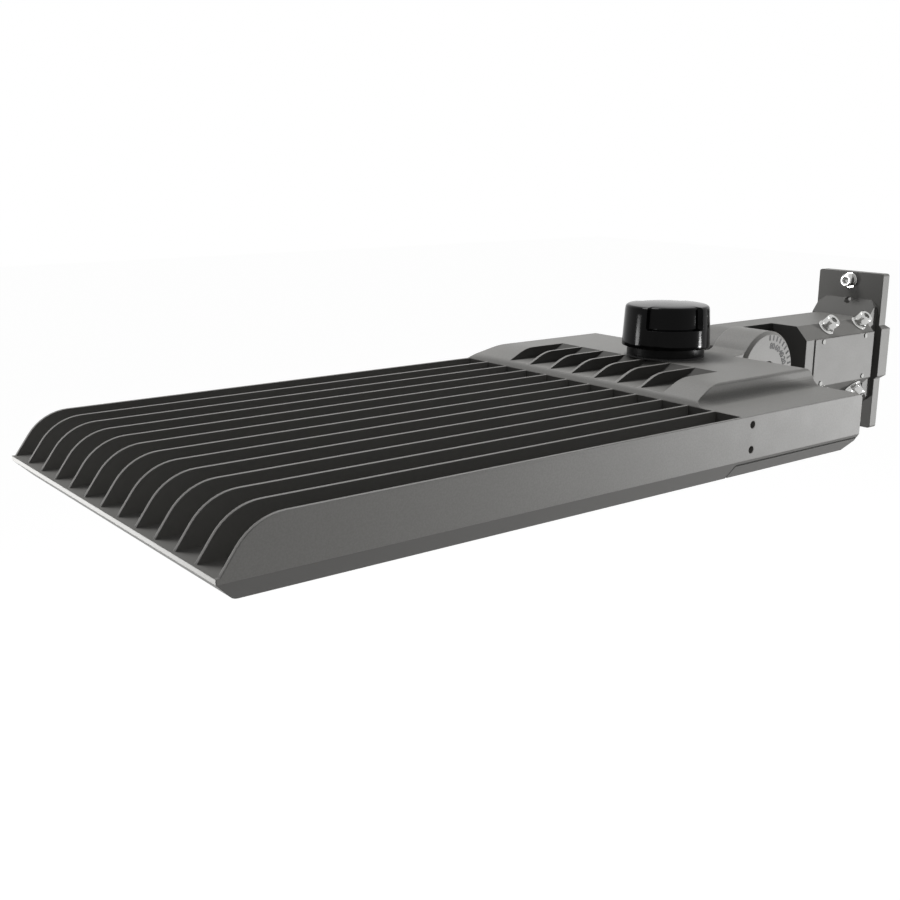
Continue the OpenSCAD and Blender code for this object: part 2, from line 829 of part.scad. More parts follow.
module door_hinge_pins()
    color(zinc) for (y = lug_ys)
        bar_y([hinge_x, y - hinge_pin_l / 2, hinge_z], hinge_pin_r, hinge_pin_l);

// Shallow tray that closes the compartment, with a hinge bead along its front edge
module driver_door()
    color(paint) difference() {
        intersection() {
            along_x(rear_x, tray_x) rim_section(floor_z);
            union() {
                along_y(-half_w, half_w)
                    polygon([[rear_x + door_rear_bevel, bottom_z], [hinge_x, bottom_z],
                        [hinge_x, hinge_z],
                        [hinge_x + bead_r * cos(lean_a), hinge_z + bead_r * sin(lean_a)],
                        [hinge_x, door_top_z], [rear_x, door_top_z],
                        [rear_x, bottom_z + door_rear_rise]]);
                bar_y([hinge_x, -half_w, hinge_z], bead_r, head_w);
            }
        }
        difference() {
            block([cavity_x0 + door_rim_w, door_rim_w - cavity_hw, door_floor_z],
                [cavity_x1 - door_rim_w / 2, cavity_hw - door_rim_w, door_top_z + over]);
            at_door_screws() bar_z([0, 0, bottom_z], door_boss_r, rim_h);
        }
        at_door_screws() {
            bar_z([0, 0, bottom_z - over], door_screw_r + fit, rim_h + over);
            bar_z([0, 0, bottom_z - over], door_screw_head_r + play, door_screw_head_h + over);
        }
        for (y = lug_ys) {
            block([hinge_x - lug_reach, y - lug_w / 2 - lug_gap, bottom_z - over],
                [tray_x + over, y + lug_w / 2 + lug_gap, seam_z]);
            bar_y([hinge_x, y - hinge_pin_l / 2 - play, hinge_z], hinge_pin_r + fit,
                hinge_pin_l + 2 * play);
        }
    }

module door_gasket()
    color(rubber) difference() {
        block([cavity_x0 + seam_gap, seam_gap - cavity_hw, door_top_z],
            [cavity_x1 - seam_gap, cavity_hw - seam_gap, door_top_z + door_gasket_h]);
        block([cavity_x0 + seam_gap + door_gasket_w,
                seam_gap + door_gasket_w - cavity_hw, door_top_z - over],
            [cavity_x1 - seam_gap - door_gasket_w,
                cavity_hw - seam_gap - door_gasket_w, door_top_z + door_gasket_h + over]);
    }

module door_screws()
    color(zinc) at_door_screws() translate([0, 0, bottom_z + door_screw_head_h]) {
        bar_z([0, 0, 0], door_screw_r,
            seam_z - bottom_z - door_screw_head_h + door_screw_grip);
        bar_z([0, 0, -door_screw_head_h], door_screw_head_r, door_screw_head_h);
    }

// An arc of a ring round Z, starting at angle a
module ring_arc(r0, r1, h, a, sweep)
    rotate([0, 0, a]) rotate_extrude(angle = sweep)
        translate([r0, 0]) square([r1 - r0, h]);

module photocell_receptacle()
    color(black) translate([socket_x, socket_y, 0]) difference() {
        union() {
            bar_z([0, 0, socket_foot_z], ring_r, ring_h);
            bar_z([0, 0, socket_top_z - socket_depth - ring_h], socket_body_r, socket_depth + over);
        }
        for (i = [0:2])
            translate([0, 0, socket_top_z - slot_depth])
                ring_arc(blade_ring_r - slot_d / 2, blade_ring_r + slot_d / 2,
                    slot_depth + over, 120 * i - blade_a / 2 - slot_ease_a,
                    blade_a + twist_a + 2 * slot_ease_a);
    }

module receptacle_contacts()
    color(brass) translate([socket_x, socket_y, socket_top_z - slot_depth])
        for (i = [0:2])
            difference() {
                ring_arc(blade_ring_r - slot_d / 2 + fit, blade_ring_r + slot_d / 2 - fit,
                    contact_h, 120 * i - blade_a / 2, blade_a + twist_a);
                translate([0, 0, contact_h / 3])
                    ring_arc(blade_ring_r - blade_t / 2 - play, blade_ring_r + blade_t / 2 + play,
                        contact_h, 120 * i - blade_a, 2 * blade_a + twist_a);
            }

module receptacle_lock_ring()
    color(black) translate([socket_x, socket_y, ceiling_z - play - lock_ring_t])
        ring_z(socket_body_r + fit, socket_body_r + lock_ring_w, lock_ring_t);

// Outline of the cap from the axis to its rounded top edge
module cap_profile()
    polygon(concat([[0, 0]], rounded([[cap_r, 0], [cap_r - cap_draft, cap_h - cap_crown],
        [0, cap_h]], [0, cap_edge_r, 0])));

module shorting_cap()
    color(black) translate([socket_x, socket_y, cap_z]) difference() {
        rotate_extrude() cap_profile();
        translate([0, 0, -over]) ring_z(cap_gasket_r0 - fit, cap_gasket_r1 + fit,
            cap_gasket_t + over);
        for (i = [0:2])
            translate([0, 0, -over])
                ring_arc(blade_ring_r - blade_t / 2 - fit, blade_ring_r + blade_t / 2 + fit,
                    blade_root + over, 120 * i - blade_a / 2 - fit, blade_a + 2 * fit);
        for (i = [0, 1])
            translate([0, 0, grip_foot_h])
                ring_arc(cap_r - cap_draft / 2 - grip_d, cap_r + over, cap_h,
                    grip_start_a + 180 * i, grip_sweep_a);
    }

module cap_blades()
    color(brass) translate([socket_x, socket_y, cap_z - blade_l])
        for (i = [0:2])
            ring_arc(blade_ring_r - blade_t / 2, blade_ring_r + blade_t / 2,
                blade_l + blade_root - fit, 120 * i - blade_a / 2, blade_a);

module cap_gasket()
    color(rubber) translate([socket_x, socket_y, cap_z - play / 2])
        ring_z(cap_gasket_r0, cap_gasket_r1, cap_gasket_t + play / 2);

// Put children on the four bevels where the set bolts stand, with +Z pointing out
module at_set_bolts()
    for (x = bolt_xs)
        for (tilt = [-45, -135])
            translate([x, 0, 0]) rotate([tilt, 0, 0]) translate([0, 0, set_seat]) children();

// Octagonal arm with a cheek that ends round beside the drum
module slip_fitter()
    color(paint) difference() {
        union() {
            along_x(arm_x0, arm_x1) polygon(octagon(arm_hw, arm_hh, arm_bevel));
            intersection() {
                along_x(arm_x1 - over, pivot_x) polygon(octagon(arm_hw, arm_hh, arm_bevel));
                block([arm_x1 - over, -arm_hw, -arm_hh], [pivot_x, cheek_y, arm_hh]);
            }
            translate([pivot_x, -arm_hw, 0]) rotate([-90, 0, 0]) {
                cylinder(r1 = arm_hh - arm_bevel, r2 = arm_hh, h = arm_bevel);
                translate([0, 0, arm_bevel])
                    cylinder(r = arm_hh, h = arm_hw - arm_bevel + cheek_y);
            }
        }
        bar_x([arm_x0 - over, 0, 0], tenon_r + fit, bore_depth + over);
        bar_x([arm_x0 + bore_depth - over, channel_y, 0], channel_r,
            pivot_x - arm_x0 - bore_depth - window_reach + over);
        bar_y([pivot_x - window_reach, channel_y, 0], window_r, arm_hw);
        bar_y([pivot_x, -arm_hw - over, 0], pivot_r + fit, arm_hw + over);
        bar_y([pivot_x, -arm_hw - over, 0], pivot_nut_r + fit, pivot_nut_h + over, $fn = 6);
        translate([pivot_x, cheek_y - ring_pad_t + play, 0]) rotate([-90, 0, 0])
            ring_z(ring_pad_r - ring_pad_w - fit, ring_pad_r + fit, ring_pad_t);
        at_set_bolts() translate([0, 0, -set_seat]) cylinder(r = set_r + fit, h = set_seat + over);
        for (x = side_pin_xs)
            for (side = [-1, 1])
                bar_y([x, arm_hw - side_pin_grip, side * side_pin_z], side_pin_r + fit,
                    side_pin_grip + over);
    }

module set_bolts()
    color(zinc) at_set_bolts() translate([0, 0, jam_h])
        cap_screw(set_r, set_seat + jam_h - tenon_r - fit, set_head_r, set_head_h);

module jam_nuts()
    color(zinc) at_set_bolts() difference() {
        union() {
            cylinder(r = jam_flange_r, h = jam_flange_h);
            cylinder(r = jam_hex_r, h = jam_h, $fn = 6);
        }
        translate([0, 0, -over]) cylinder(r = set_r + fit, h = jam_h + 2 * over);
    }

module side_plate()
    color(paint) difference() {
        block([arm_x0, arm_hw, arm_bevel - arm_hh],
            [side_plate_x1, arm_hw + side_plate_t, arm_hh - arm_bevel]);
        for (x = side_pin_xs)
            for (side = [-1, 1])
                bar_y([x, arm_hw - over, side * side_pin_z], side_pin_r + fit,
                    side_plate_t + 2 * over);
    }

module side_plate_pins()
    color(zinc) for (x = side_pin_xs)
        for (side = [-1, 1]) {
            bar_y([x, arm_hw - side_pin_grip + fit, side * side_pin_z], side_pin_r,
                side_pin_grip + side_plate_t);
            bar_y([x, arm_hw + side_plate_t, side * side_pin_z], side_pin_r + side_pin_h,
                side_pin_h);
        }

module friction_ring()
    color(rubber) translate([pivot_x, cheek_y - ring_pad_t + play, 0]) rotate([-90, 0, 0])
        ring_z(ring_pad_r - ring_pad_w, ring_pad_r, ring_pad_t);

// Pivot bolt from the counterbore in the drum to the nut in the cheek
module pivot_bolt()
    color(zinc) translate([pivot_x, counterbore_y + play + washer_t, 0]) rotate([-90, 0, 0])
        cap_screw(pivot_r, counterbore_y + play + washer_t + arm_hw - pivot_end_in,
            pivot_head_r, pivot_head_h);

module pivot_washer()
    color(zinc) translate([pivot_x, counterbore_y + play, 0]) rotate([-90, 0, 0])
        ring_z(pivot_r + fit, counterbore_r - play, washer_t);

module pivot_nut()
    color(zinc) translate([pivot_x, -arm_hw, 0]) rotate([-90, 0, 0]) difference() {
        cylinder(r = pivot_nut_r, h = pivot_nut_h, $fn = 6);
        translate([0, 0, -over]) cylinder(r = pivot_r + fit, h = pivot_nut_h + 2 * over);
    }

// Pole plate with a pad behind, a flared collar in front and a hollow tenon for the arm
module pole_adaptor()
    color(paint) difference() {
        union() {
            along_x(plate_x0, plate_x1)
                polygon(rounded([[plate_hw, -plate_hh], [plate_hw, plate_hh],
                    [-plate_hw, plate_hh], [-plate_hw, -plate_hh]],
                    [corner_r, corner_r, corner_r, corner_r]));
            intersection() {
                along_y(-pad_hw, pad_hw)
                    polygon([[0, -pad_hh], [0, pad_hh], [plate_x0, pad_hh + pad_bevel],
                        [plate_x1, pad_hh + pad_bevel], [plate_x1, -pad_hh - pad_bevel],
                        [plate_x0, -pad_hh - pad_bevel]]);
                along_x(0, plate_x1) polygon(octagon(pad_hw, pad_hh + pad_bevel, pad_bevel));
            }
            intersection() {
                along_y(-collar_hw, collar_hw)
                    polygon([[plate_x1 - over, -arm_hh - gusset],
                        [plate_x1, -arm_hh - gusset], [arm_x0, -arm_hh], [arm_x0, arm_hh],
                        [plate_x1, arm_hh + gusset], [plate_x1 - over, arm_hh + gusset]]);
                along_x(0, arm_x0)
                    polygon(octagon(collar_hw, arm_hh + gusset, arm_bevel / 2));
            }
            bar_x([plate_x1, 0, 0], tenon_r, tenon_end_x - plate_x1);
        }
        bar_x([-over, 0, 0], wire_r, arm_x0 + 2 * over);
        bar_x([arm_x0, 0, 0], tenon_r - tenon_wall, tenon_end_x);
        translate([-over, 0, 0]) rotate([0, 90, 0])
            ring_z(pole_gasket_r0 - fit, pole_gasket_r1 + fit, pole_gasket_t + over);
        for (side = [-1, 1]) {
            bar_x([-over, 0, side * bolt_z], bolt_r + fit, plate_x1 + 2 * over);
            bar_x([-over, 0, side * spare_z], spare_r, plate_x1 + gusset);
        }
    }

module pole_gasket()
    color(rubber) rotate([0, 90, 0]) ring_z(pole_gasket_r0, pole_gasket_r1, pole_gasket_t);

// Bolts with a plain shank in the plate and a thinner threaded end behind it
module pole_bolts()
    color(zinc) for (side = [-1, 1]) {
        translate([plate_x1 + pole_washer_t, 0, side * bolt_z]) rotate([0, 90, 0])
            cap_screw(bolt_r, pole_washer_t + plate_t + stud_gap, pole_head_r, pole_head_h);
        bar_x([-stud_out, 0, side * bolt_z], stud_r, stud_out + plate_x0);
    }

module pole_washers()
    color(zinc) for (side = [-1, 1])
        translate([plate_x1, 0, side * bolt_z]) rotate([0, 90, 0])
            ring_z(bolt_r + fit, pole_washer_r, pole_washer_t);

housing();
led_boards();
led_chips();
lens_gasket();
lens_panels();
lens_frame();
frame_screws();
led_driver();
driver_screws();
surge_protector();
terminal_block();
ground_screw();
wire_bushing();
breather_vent();
receptacle_gasket();
door_hinge_pins();
driver_door();
door_gasket();
door_screws();
photocell_receptacle();
receptacle_contacts();
receptacle_lock_ring();
shorting_cap();
cap_blades();
cap_gasket();
slip_fitter();
set_bolts();
jam_nuts();
side_plate();
side_plate_pins();
friction_ring();
pivot_bolt();
pivot_washer();
pivot_nut();
pole_adaptor();
pole_gasket();
pole_bolts();
pole_washers();
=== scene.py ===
import bpy
import bmesh
import math
from mathutils import Matrix, Vector


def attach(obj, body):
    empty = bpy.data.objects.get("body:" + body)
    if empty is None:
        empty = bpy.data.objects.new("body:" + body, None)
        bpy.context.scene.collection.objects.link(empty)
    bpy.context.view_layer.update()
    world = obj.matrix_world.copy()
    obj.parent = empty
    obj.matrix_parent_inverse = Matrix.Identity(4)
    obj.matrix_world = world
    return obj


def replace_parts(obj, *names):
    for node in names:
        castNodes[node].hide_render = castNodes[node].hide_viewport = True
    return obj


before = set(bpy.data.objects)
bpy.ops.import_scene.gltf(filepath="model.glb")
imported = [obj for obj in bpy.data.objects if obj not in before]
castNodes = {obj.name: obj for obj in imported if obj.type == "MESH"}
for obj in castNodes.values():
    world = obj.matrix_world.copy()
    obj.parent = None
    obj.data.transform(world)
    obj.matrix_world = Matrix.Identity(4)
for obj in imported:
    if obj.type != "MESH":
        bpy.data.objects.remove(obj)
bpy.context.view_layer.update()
print("frame loaded,", len(castNodes), "nodes")

mm = 0.001
weldGap = 1e-7  # corners this near are one, in a piece that is made here
shellGap = 1e-6  # the same in the mesh of a CAD node

# camera, floor and light

view = {
    "place": (1.118, 0.7235, 0.198),
    "right": (-0.7891, 0.6138, 0.0058),
    "forward": (-0.5968, -0.7648, -0.2440),
    "lens": 46.8,
    "sensor": 36.0,
    "nearest": 0.01,
}


def aimed(place, right, forward):
    ahead = Vector(forward).normalized()
    up = Vector(right).cross(ahead).normalized()
    side = ahead.cross(up)
    turn = Matrix((side, up, -ahead)).transposed().to_4x4()
    return Matrix.Translation(place) @ turn


camera = bpy.data.objects.new("studioCamera", bpy.data.cameras.new("studioCamera"))
camera.data.lens = view["lens"]
camera.data.sensor_width = view["sensor"]
camera.data.clip_start = view["nearest"]
camera.matrix_world = aimed(view["place"], view["right"], view["forward"])
bpy.context.scene.collection.objects.link(camera)
bpy.context.scene.camera = camera
bpy.context.scene.view_settings.view_transform = "Standard"

floorPlan = {"size": 16.0, "centre": 0.4, "height": -0.6, "colour": (0.12, 0.12, 0.12, 1), "glow": 0.97}
worldLight = {"background": 1.0, "ambient": 0.14, "tint": (1.0, 1.0, 1.0, 1)}


def seenDirectly(nodes, links):
    # 1 for rays that show the background: straight, mirrored or through glass
    path = nodes.new("ShaderNodeLightPath")
    seen = path.outputs["Is Camera Ray"]
    for ray in ("Is Glossy Ray", "Is Transmission Ray"):
        either = nodes.new("ShaderNodeMath")
        either.operation = "MAXIMUM"
        links.new(seen, either.inputs[0])
        links.new(path.outputs[ray], either.inputs[1])
        seen = either.outputs[0]
    return seen


def makeFloor(plan):
    bm = bmesh.new()
    bmesh.ops.create_grid(bm, x_segments=2, y_segments=2, size=plan["size"] / 2)
    bmesh.ops.translate(bm, vec=(plan["centre"], 0, plan["height"]), verts=bm.verts)
    mesh = bpy.data.meshes.new("floor")
    bm.to_mesh(mesh)
    bm.free()
    floor = bpy.data.objects.new("floor", mesh)
    bpy.context.scene.collection.objects.link(floor)
    material = bpy.data.materials.new("paleFloor")
    material.use_nodes = True
    nodes, links = material.node_tree.nodes, material.node_tree.links
    nodes.remove(nodes["Principled BSDF"])
    matt = nodes.new("ShaderNodeBsdfDiffuse")
    matt.inputs["Color"].default_value = plan["colour"]
    glow = nodes.new("ShaderNodeEmission")
    level = nodes.new("ShaderNodeMath")
    level.operation = "MULTIPLY"
    level.inputs[1].default_value = plan["glow"]
    links.new(seenDirectly(nodes, links), level.inputs[0])
    links.new(level.outputs[0], glow.inputs["Strength"])
    both = nodes.new("ShaderNodeAddShader")
    links.new(matt.outputs[0], both.inputs[0])
    links.new(glow.outputs[0], both.inputs[1])
    links.new(both.outputs[0], nodes["Material Output"].inputs["Surface"])
    mesh.materials.append(material)


def makeWorld(plan):
    world = bpy.data.worlds.new("studio")
    world.use_nodes = True
    bpy.context.scene.world = world
    nodes, links = world.node_tree.nodes, world.node_tree.links
    background = nodes["Background"]
    background.inputs["Color"].default_value = plan["tint"]
    level = nodes.new("ShaderNodeMapRange")
    level.inputs["To Min"].default_value = plan["ambient"]
    level.inputs["To Max"].default_value = plan["background"]
    links.new(seenDirectly(nodes, links), level.inputs["Value"])
    links.new(level.outputs["Result"], background.inputs["Strength"])


lamps = {
    "topSoft": {"place": (0.40, -0.42, 0.95), "aim": (0.36, 0.0, 0), "size": (0.5, 0.4), "power": 7.6},
    "rearSide": {"place": (-1.3, 1.3, -0.3), "aim": (0.2, 0.15, -0.02), "size": (0.3, 0.35), "power": 35},
    "frontLow": {"place": (1.55, -0.95, -0.28), "aim": (0.7, 0, -0.02), "size": (0.3, 0.5), "power": 15},
}


def makeLamp(name, plan):
    lamp = bpy.data.lights.new(name, "AREA")
    lamp.shape = "RECTANGLE"
    lamp.size, lamp.size_y = plan["size"]
    lamp.energy = plan["power"]
    holder = bpy.data.objects.new(name, lamp)
    ahead = Vector(plan["aim"]) - Vector(plan["place"])
    turn = ahead.to_track_quat("-Z", "Y").to_matrix().to_4x4()
    holder.matrix_world = Matrix.Translation(plan["place"]) @ turn
    bpy.context.scene.collection.objects.link(holder)


makeFloor(floorPlan)
makeWorld(worldLight)
for lampName, lampPlan in lamps.items():
    makeLamp(lampName, lampPlan)
print("stage and camera ready")

# finishes

middle = (0.3, 0.7)  # the part of a noise's range that a blend is spread over
# how much of its normal a face has along an axis, when it looks along it or slants from it
square, slanted = 0.8, 0.5


class Finish:
    # a node material with its shader, and short ways to add the usual nodes
    mixColours, mixResult = (6, 7), 2  # the colour sockets of a Mix node

    def __init__(self, name, roughness=0.5, metallic=0.0):
        self.material = bpy.data.materials.new(name)
        self.material.use_nodes = True
        self.nodes = self.material.node_tree.nodes
        self.links = self.material.node_tree.links
        self.shader = self.nodes["Principled BSDF"]
        self.shader.inputs["Roughness"].default_value = roughness
        self.shader.inputs["Metallic"].default_value = metallic
        self.place = self.nodes.new("ShaderNodeTexCoord").outputs["Object"]

    def link(self, source, target):
        self.links.new(source, target)

    def noise(self, scale, detail=2.0, rough=0.5):
        node = self.nodes.new("ShaderNodeTexNoise")
        node.inputs["Scale"].default_value = scale
        node.inputs["Detail"].default_value = detail
        node.inputs["Roughness"].default_value = rough
        self.link(self.place, node.inputs["Vector"])
        return node.outputs["Fac"]

    def facing(self):
        return self.nodes.new("ShaderNodeNewGeometry").outputs["True Normal"]

    def axes(self, vector):
        split = self.nodes.new("ShaderNodeSeparateXYZ")
        self.link(vector, split.inputs[0])
        return {axis: split.outputs[axis] for axis in "XYZ"}

    def sum(self, operation, first, second=None):
        node = self.nodes.new("ShaderNodeMath")
        node.operation = operation
        for socket, value in zip(node.inputs, (first, second)):
            if isinstance(value, (int, float)):
                socket.default_value = value
            elif value is not None:
                self.link(value, socket)
        return node.outputs[0]

    def over(self, value, limit):
        return self.sum("GREATER_THAN", value, limit)

    def under(self, value, limit):
        return self.sum("LESS_THAN", value, limit)

    def away(self, value):
        return self.sum("ABSOLUTE", value)

    def every(self, *masks):
        result = masks[0]
        for mask in masks[1:]:
            result = self.sum("MULTIPLY", result, mask)
        return result

    def either(self, *masks):
        result = masks[0]
        for mask in masks[1:]:
            result = self.sum("MAXIMUM", result, mask)
        return result

    def span(self, value, low, high, toLow=0.0, toHigh=1.0):
        node = self.nodes.new("ShaderNodeMapRange")
        self.link(value, node.inputs["Value"])
        sockets = ("From Min", "From Max", "To Min", "To Max")
        for socket, number in zip(sockets, (low, high, toLow, toHigh)):
            node.inputs[socket].default_value = number
        return node.outputs["Result"]

    def blend(self, factor, first, second):
        node = self.nodes.new("ShaderNodeMix")
        node.data_type = "RGBA"
        self.link(factor, node.inputs["Factor"])
        for number, value in zip(self.mixColours, (first, second)):
            if isinstance(value, tuple):
                node.inputs[number].default_value = value
            else:
                self.link(value, node.inputs[number])
        return node.outputs[self.mixResult]

    def softEdge(self, radius, samples=4):
        node = self.nodes.new("ShaderNodeBevel")
        node.samples = samples
        node.inputs["Radius"].default_value = radius
        return node.outputs["Normal"]

    def edgeMask(self, rounded, low, high):
        # how far the rounded normal leaves the flat one
        dot = self.nodes.new("ShaderNodeVectorMath")
        dot.operation = "DOT_PRODUCT"
        self.link(rounded, dot.inputs[0])
        self.link(self.facing(), dot.inputs[1])
        return self.span(self.sum("SUBTRACT", 1.0, dot.outputs["Value"]), low, high)

    def bump(self, height, distance, strength=0.5, normal=None):
        node = self.nodes.new("ShaderNodeBump")
        node.inputs["Strength"].default_value = strength
        node.inputs["Distance"].default_value = distance
        self.link(height, node.inputs["Height"])
        if normal is not None:
            self.link(normal, node.inputs["Normal"])
        self.link(node.outputs["Normal"], self.shader.inputs["Normal"])

    def colour(self, value):
        self.link(value, self.shader.inputs["Base Color"])

    def rough(self, value):
        self.link(value, self.shader.inputs["Roughness"])

    def specular(self, value):
        socket = self.shader.inputs["Specular IOR Level"]
        if isinstance(value, float):
            socket.default_value = value
        else:
            self.link(value, socket)


def shade(colour, times):
    return (colour[0] * times, colour[1] * times, colour[2] * times, 1.0)


paintPlan = {
    "colour": (0.272, 0.268, 0.258), "specular": 0.22, "sheen": 60, "roughness": (0.49, 0.51),
    "mottle": 9, "mottleShades": (0.97, 1.03),
    "speckle": 825, "speckleSpan": (0.36, 0.64, 0, 0.5), "speckleShade": 0.82,
    "edgeRadius": 1.1 * mm, "edgeSamples": 6, "edgeSpan": (0.004, 0.16), "edgeShade": 1.5,
    "edgeWearAndHighlight": 420, "edgeWearAndHighlightSpan": (0.35, 0.62, 0.35, 1.0),
    "grain": 1500, "grainDepth": 0.035 * mm, "grainStrength": 0.55,
    "underFrom": -0.3, "underShade": 0.6,
}
armPaintPlan = dict(paintPlan, colour=(0.228, 0.225, 0.216))


def paintFinish(name, plan, *paintedLightAndJoints):
    # powder coat on a casting: fine orange peel, faint mottle, edges lightened partly as a worn coat and
    # partly as a painted highlight, painted shade on faces turned down, and where each mask reaches its own
    # colour and sheen: painted shade, a painted highlight on the lip, and the dark joint line of the seam
    finish = Finish(name)
    colour = plan["colour"]
    rounded = finish.softEdge(plan["edgeRadius"], plan["edgeSamples"])
    mottle = finish.noise(plan["mottle"], detail=4, rough=0.6)
    dark, light = [shade(colour, times) for times in plan["mottleShades"]]
    base = finish.blend(finish.span(mottle, *middle), dark, light)
    speckle = finish.span(finish.noise(plan["speckle"]), *plan["speckleSpan"])
    base = finish.blend(speckle, base, shade(colour, plan["speckleShade"]))
    # edges painted lighter and broken up by noise: partly a worn coat, partly a painted highlight
    edgeWearAndHighlight = finish.every(finish.edgeMask(rounded, *plan["edgeSpan"]),
                        finish.span(finish.noise(plan["edgeWearAndHighlight"], detail=3), *plan["edgeWearAndHighlightSpan"]))
    base = finish.blend(edgeWearAndHighlight, base, shade(colour, plan["edgeShade"]))
    place, facing = finish.axes(finish.place), finish.axes(finish.facing())
    # faces turned down are painted darker: painted shade
    paintedUnderShade = finish.under(facing["Z"], plan["underFrom"])
    base = finish.blend(paintedUnderShade, base, shade(colour, plan["underShade"]))
    specular = plan["specular"]
    # each mask brings its own colour and sheen: painted shade, the lip's painted highlight and the seam's
    # dark joint line
    for mask, tint in paintedLightAndJoints:
        reach = mask(finish, tint, place, facing)
        base = finish.blend(reach, base, shade(colour, tint["shade"]))
        change = finish.sum("MULTIPLY", reach, tint["specular"] - plan["specular"])
        specular = finish.sum("ADD", specular, change)
    finish.specular(specular)
    finish.colour(base)
    finish.rough(finish.span(finish.noise(plan["sheen"], detail=3), *middle, *plan["roughness"]))
    finish.bump(finish.noise(plan["grain"], rough=0.55), plan["grainDepth"], plan["grainStrength"], rounded)
    return finish.material


# a painted highlight along the front lip under the fins
lipPaintedHighlight = {"shade": 2.4, "specular": 0.22, "from": 847.6 * mm}


def lipMask(finish, plan, place, facing):
    # the narrow front edge of the plate under the fins, painted lighter: a painted highlight
    return finish.every(finish.over(facing["X"], square), finish.over(place["X"], plan["from"]))


seamTint = {"shade": 0.3, "specular": 0.03, "level": -34.25 * mm, "half": 0.8 * mm, "end": 403.4 * mm,
            "lean": 0.236}


def seamMask(finish, plan, place, facing):
    # the dark joint line between the housing and the driver door
    below = finish.sum("SUBTRACT", plan["level"], place["Z"])
    level = finish.every(finish.under(finish.away(below), plan["half"]),
                         finish.under(place["X"], plan["end"]))
    ahead = finish.sum("SUBTRACT", finish.sum("SUBTRACT", place["X"], plan["end"]),
                       finish.sum("MULTIPLY", below, plan["lean"]))
    sloping = finish.every(finish.under(finish.away(ahead), plan["half"]),
                           finish.under(place["Z"], plan["level"]))
    return finish.every(finish.either(level, sloping), finish.over(finish.away(facing["Y"]), slanted))


finRoom = {"wall": 398.8 * mm, "halfWidth": 167.4 * mm, "foot": -31.2 * mm}
channelTint = dict(finRoom, shade=0.86, specular=0.03, floor=-26.5 * mm)
# painted shade on the end wall of the channels
wallPaintedShade = dict(finRoom, shade=0.5, specular=0.03, depth=0.6 * mm, top=3.6 * mm)


def inFinRoom(finish, plan, place):
    # the space between the side walls, ahead of the compartment
    return finish.every(finish.under(finish.away(place["Y"]), plan["halfWidth"]),
                        finish.over(place["Z"], plan["foot"]), finish.over(place["X"], plan["wall"]))


def channelMask(finish, plan, place, facing):
    # the upright faces and the floors between the fins, where little light gets in
    sideways = finish.over(finish.away(facing["Y"]), square)
    floor = finish.every(finish.over(facing["Z"], square), finish.under(place["Z"], plan["floor"]))
    return finish.every(inFinRoom(finish, plan, place), finish.either(sideways, floor))


def wallMask(finish, plan, place, facing):
    # painted shade on the wall at the end of the channels
    return finish.every(inFinRoom(finish, plan, place), finish.over(facing["X"], square),
                        finish.under(place["X"], plan["wall"] + plan["depth"]),
                        finish.under(place["Z"], plan["top"]))


# painted shade in the grooves of the hump, deepest toward the tips
groovePaintedShade = {"shade": 0.42, "specular": 0.03, "tip": 326.6 * mm, "mouth": 395.3 * mm, "floor": 8.5 * mm,
              "pitch": 28.1 * mm, "grooves": 7, "shift": 0.5, "ridge": 3 * mm, "lightFrom": 391 * mm,
              "darkFrom": 362 * mm}


def grooveMask(finish, plan, place, facing):
    # painted shade on the sides of the grooves in the hump, and on their floors, deepening toward the tips;
    # row counts pitches across the hump, and share runs from 0 to 1 over each
    row = finish.sum("ADD", finish.sum("DIVIDE", place["Y"], plan["pitch"]),
                     plan["grooves"] / 2 + plan["shift"])
    share = finish.sum("FRACT", row)
    inside = finish.every(finish.over(place["X"], plan["tip"]), finish.under(place["X"], plan["mouth"]),
                          finish.over(row, 0.0), finish.under(row, plan["grooves"]),
                          finish.over(place["Z"], plan["floor"]))
    edge = plan["ridge"] / plan["pitch"] / 2
    floor = finish.every(finish.over(facing["Z"], slanted), finish.over(share, edge),
                         finish.under(share, 1 - edge),
                         finish.span(place["X"], plan["lightFrom"], plan["darkFrom"]))
    sideways = finish.over(finish.away(facing["Y"]), square)
    return finish.every(inside, finish.either(sideways, floor))


notchTint = {"shade": 0.24, "specular": 0.10, "from": 143.2 * mm, "cheek": 2 * mm}


def notchMask(finish, plan, place, facing):
    # the shoulder and the cheek beside the drum, which face each other in the shade
    shoulder = finish.over(facing["X"], square)
    cheek = finish.every(finish.over(facing["Y"], square), finish.under(place["Y"], plan["cheek"]))
    return finish.every(finish.over(place["X"], plan["from"]), finish.either(shoulder, cheek))


plateTint = {"shade": 0.55, "specular": 0.12, "facing": 0.3}


def plateMask(finish, plan, place, facing):
    # the front of the pole plate, in the shade of the arm and the head
    return finish.over(facing["X"], plan["facing"])


zincPlan = {"colour": (0.56, 0.56, 0.55), "cloud": 160, "cloudShades": (0.88, 1.06), "brush": 900,
            "roughness": (0.15, 0.28), "depth": 0.02 * mm, "edge": 0.25 * mm}
dullZincPlan = dict(zincPlan, colour=(0.13, 0.13, 0.127), brush=1200, roughness=(0.5, 0.64))


def zincFinish(name, plan):
    # zinc plate: faint clouds and a fine brushed grain
    finish = Finish(name, metallic=1.0)
    cloud = finish.noise(plan["cloud"], detail=4, rough=0.6)
    dark, light = [shade(plan["colour"], times) for times in plan["cloudShades"]]
    finish.colour(finish.blend(finish.span(cloud, *middle), dark, light))
    finish.rough(finish.span(finish.noise(plan["brush"]), *middle, *plan["roughness"]))
    finish.bump(finish.noise(plan["brush"], detail=3), plan["depth"], normal=finish.softEdge(plan["edge"]))
    return finish.material


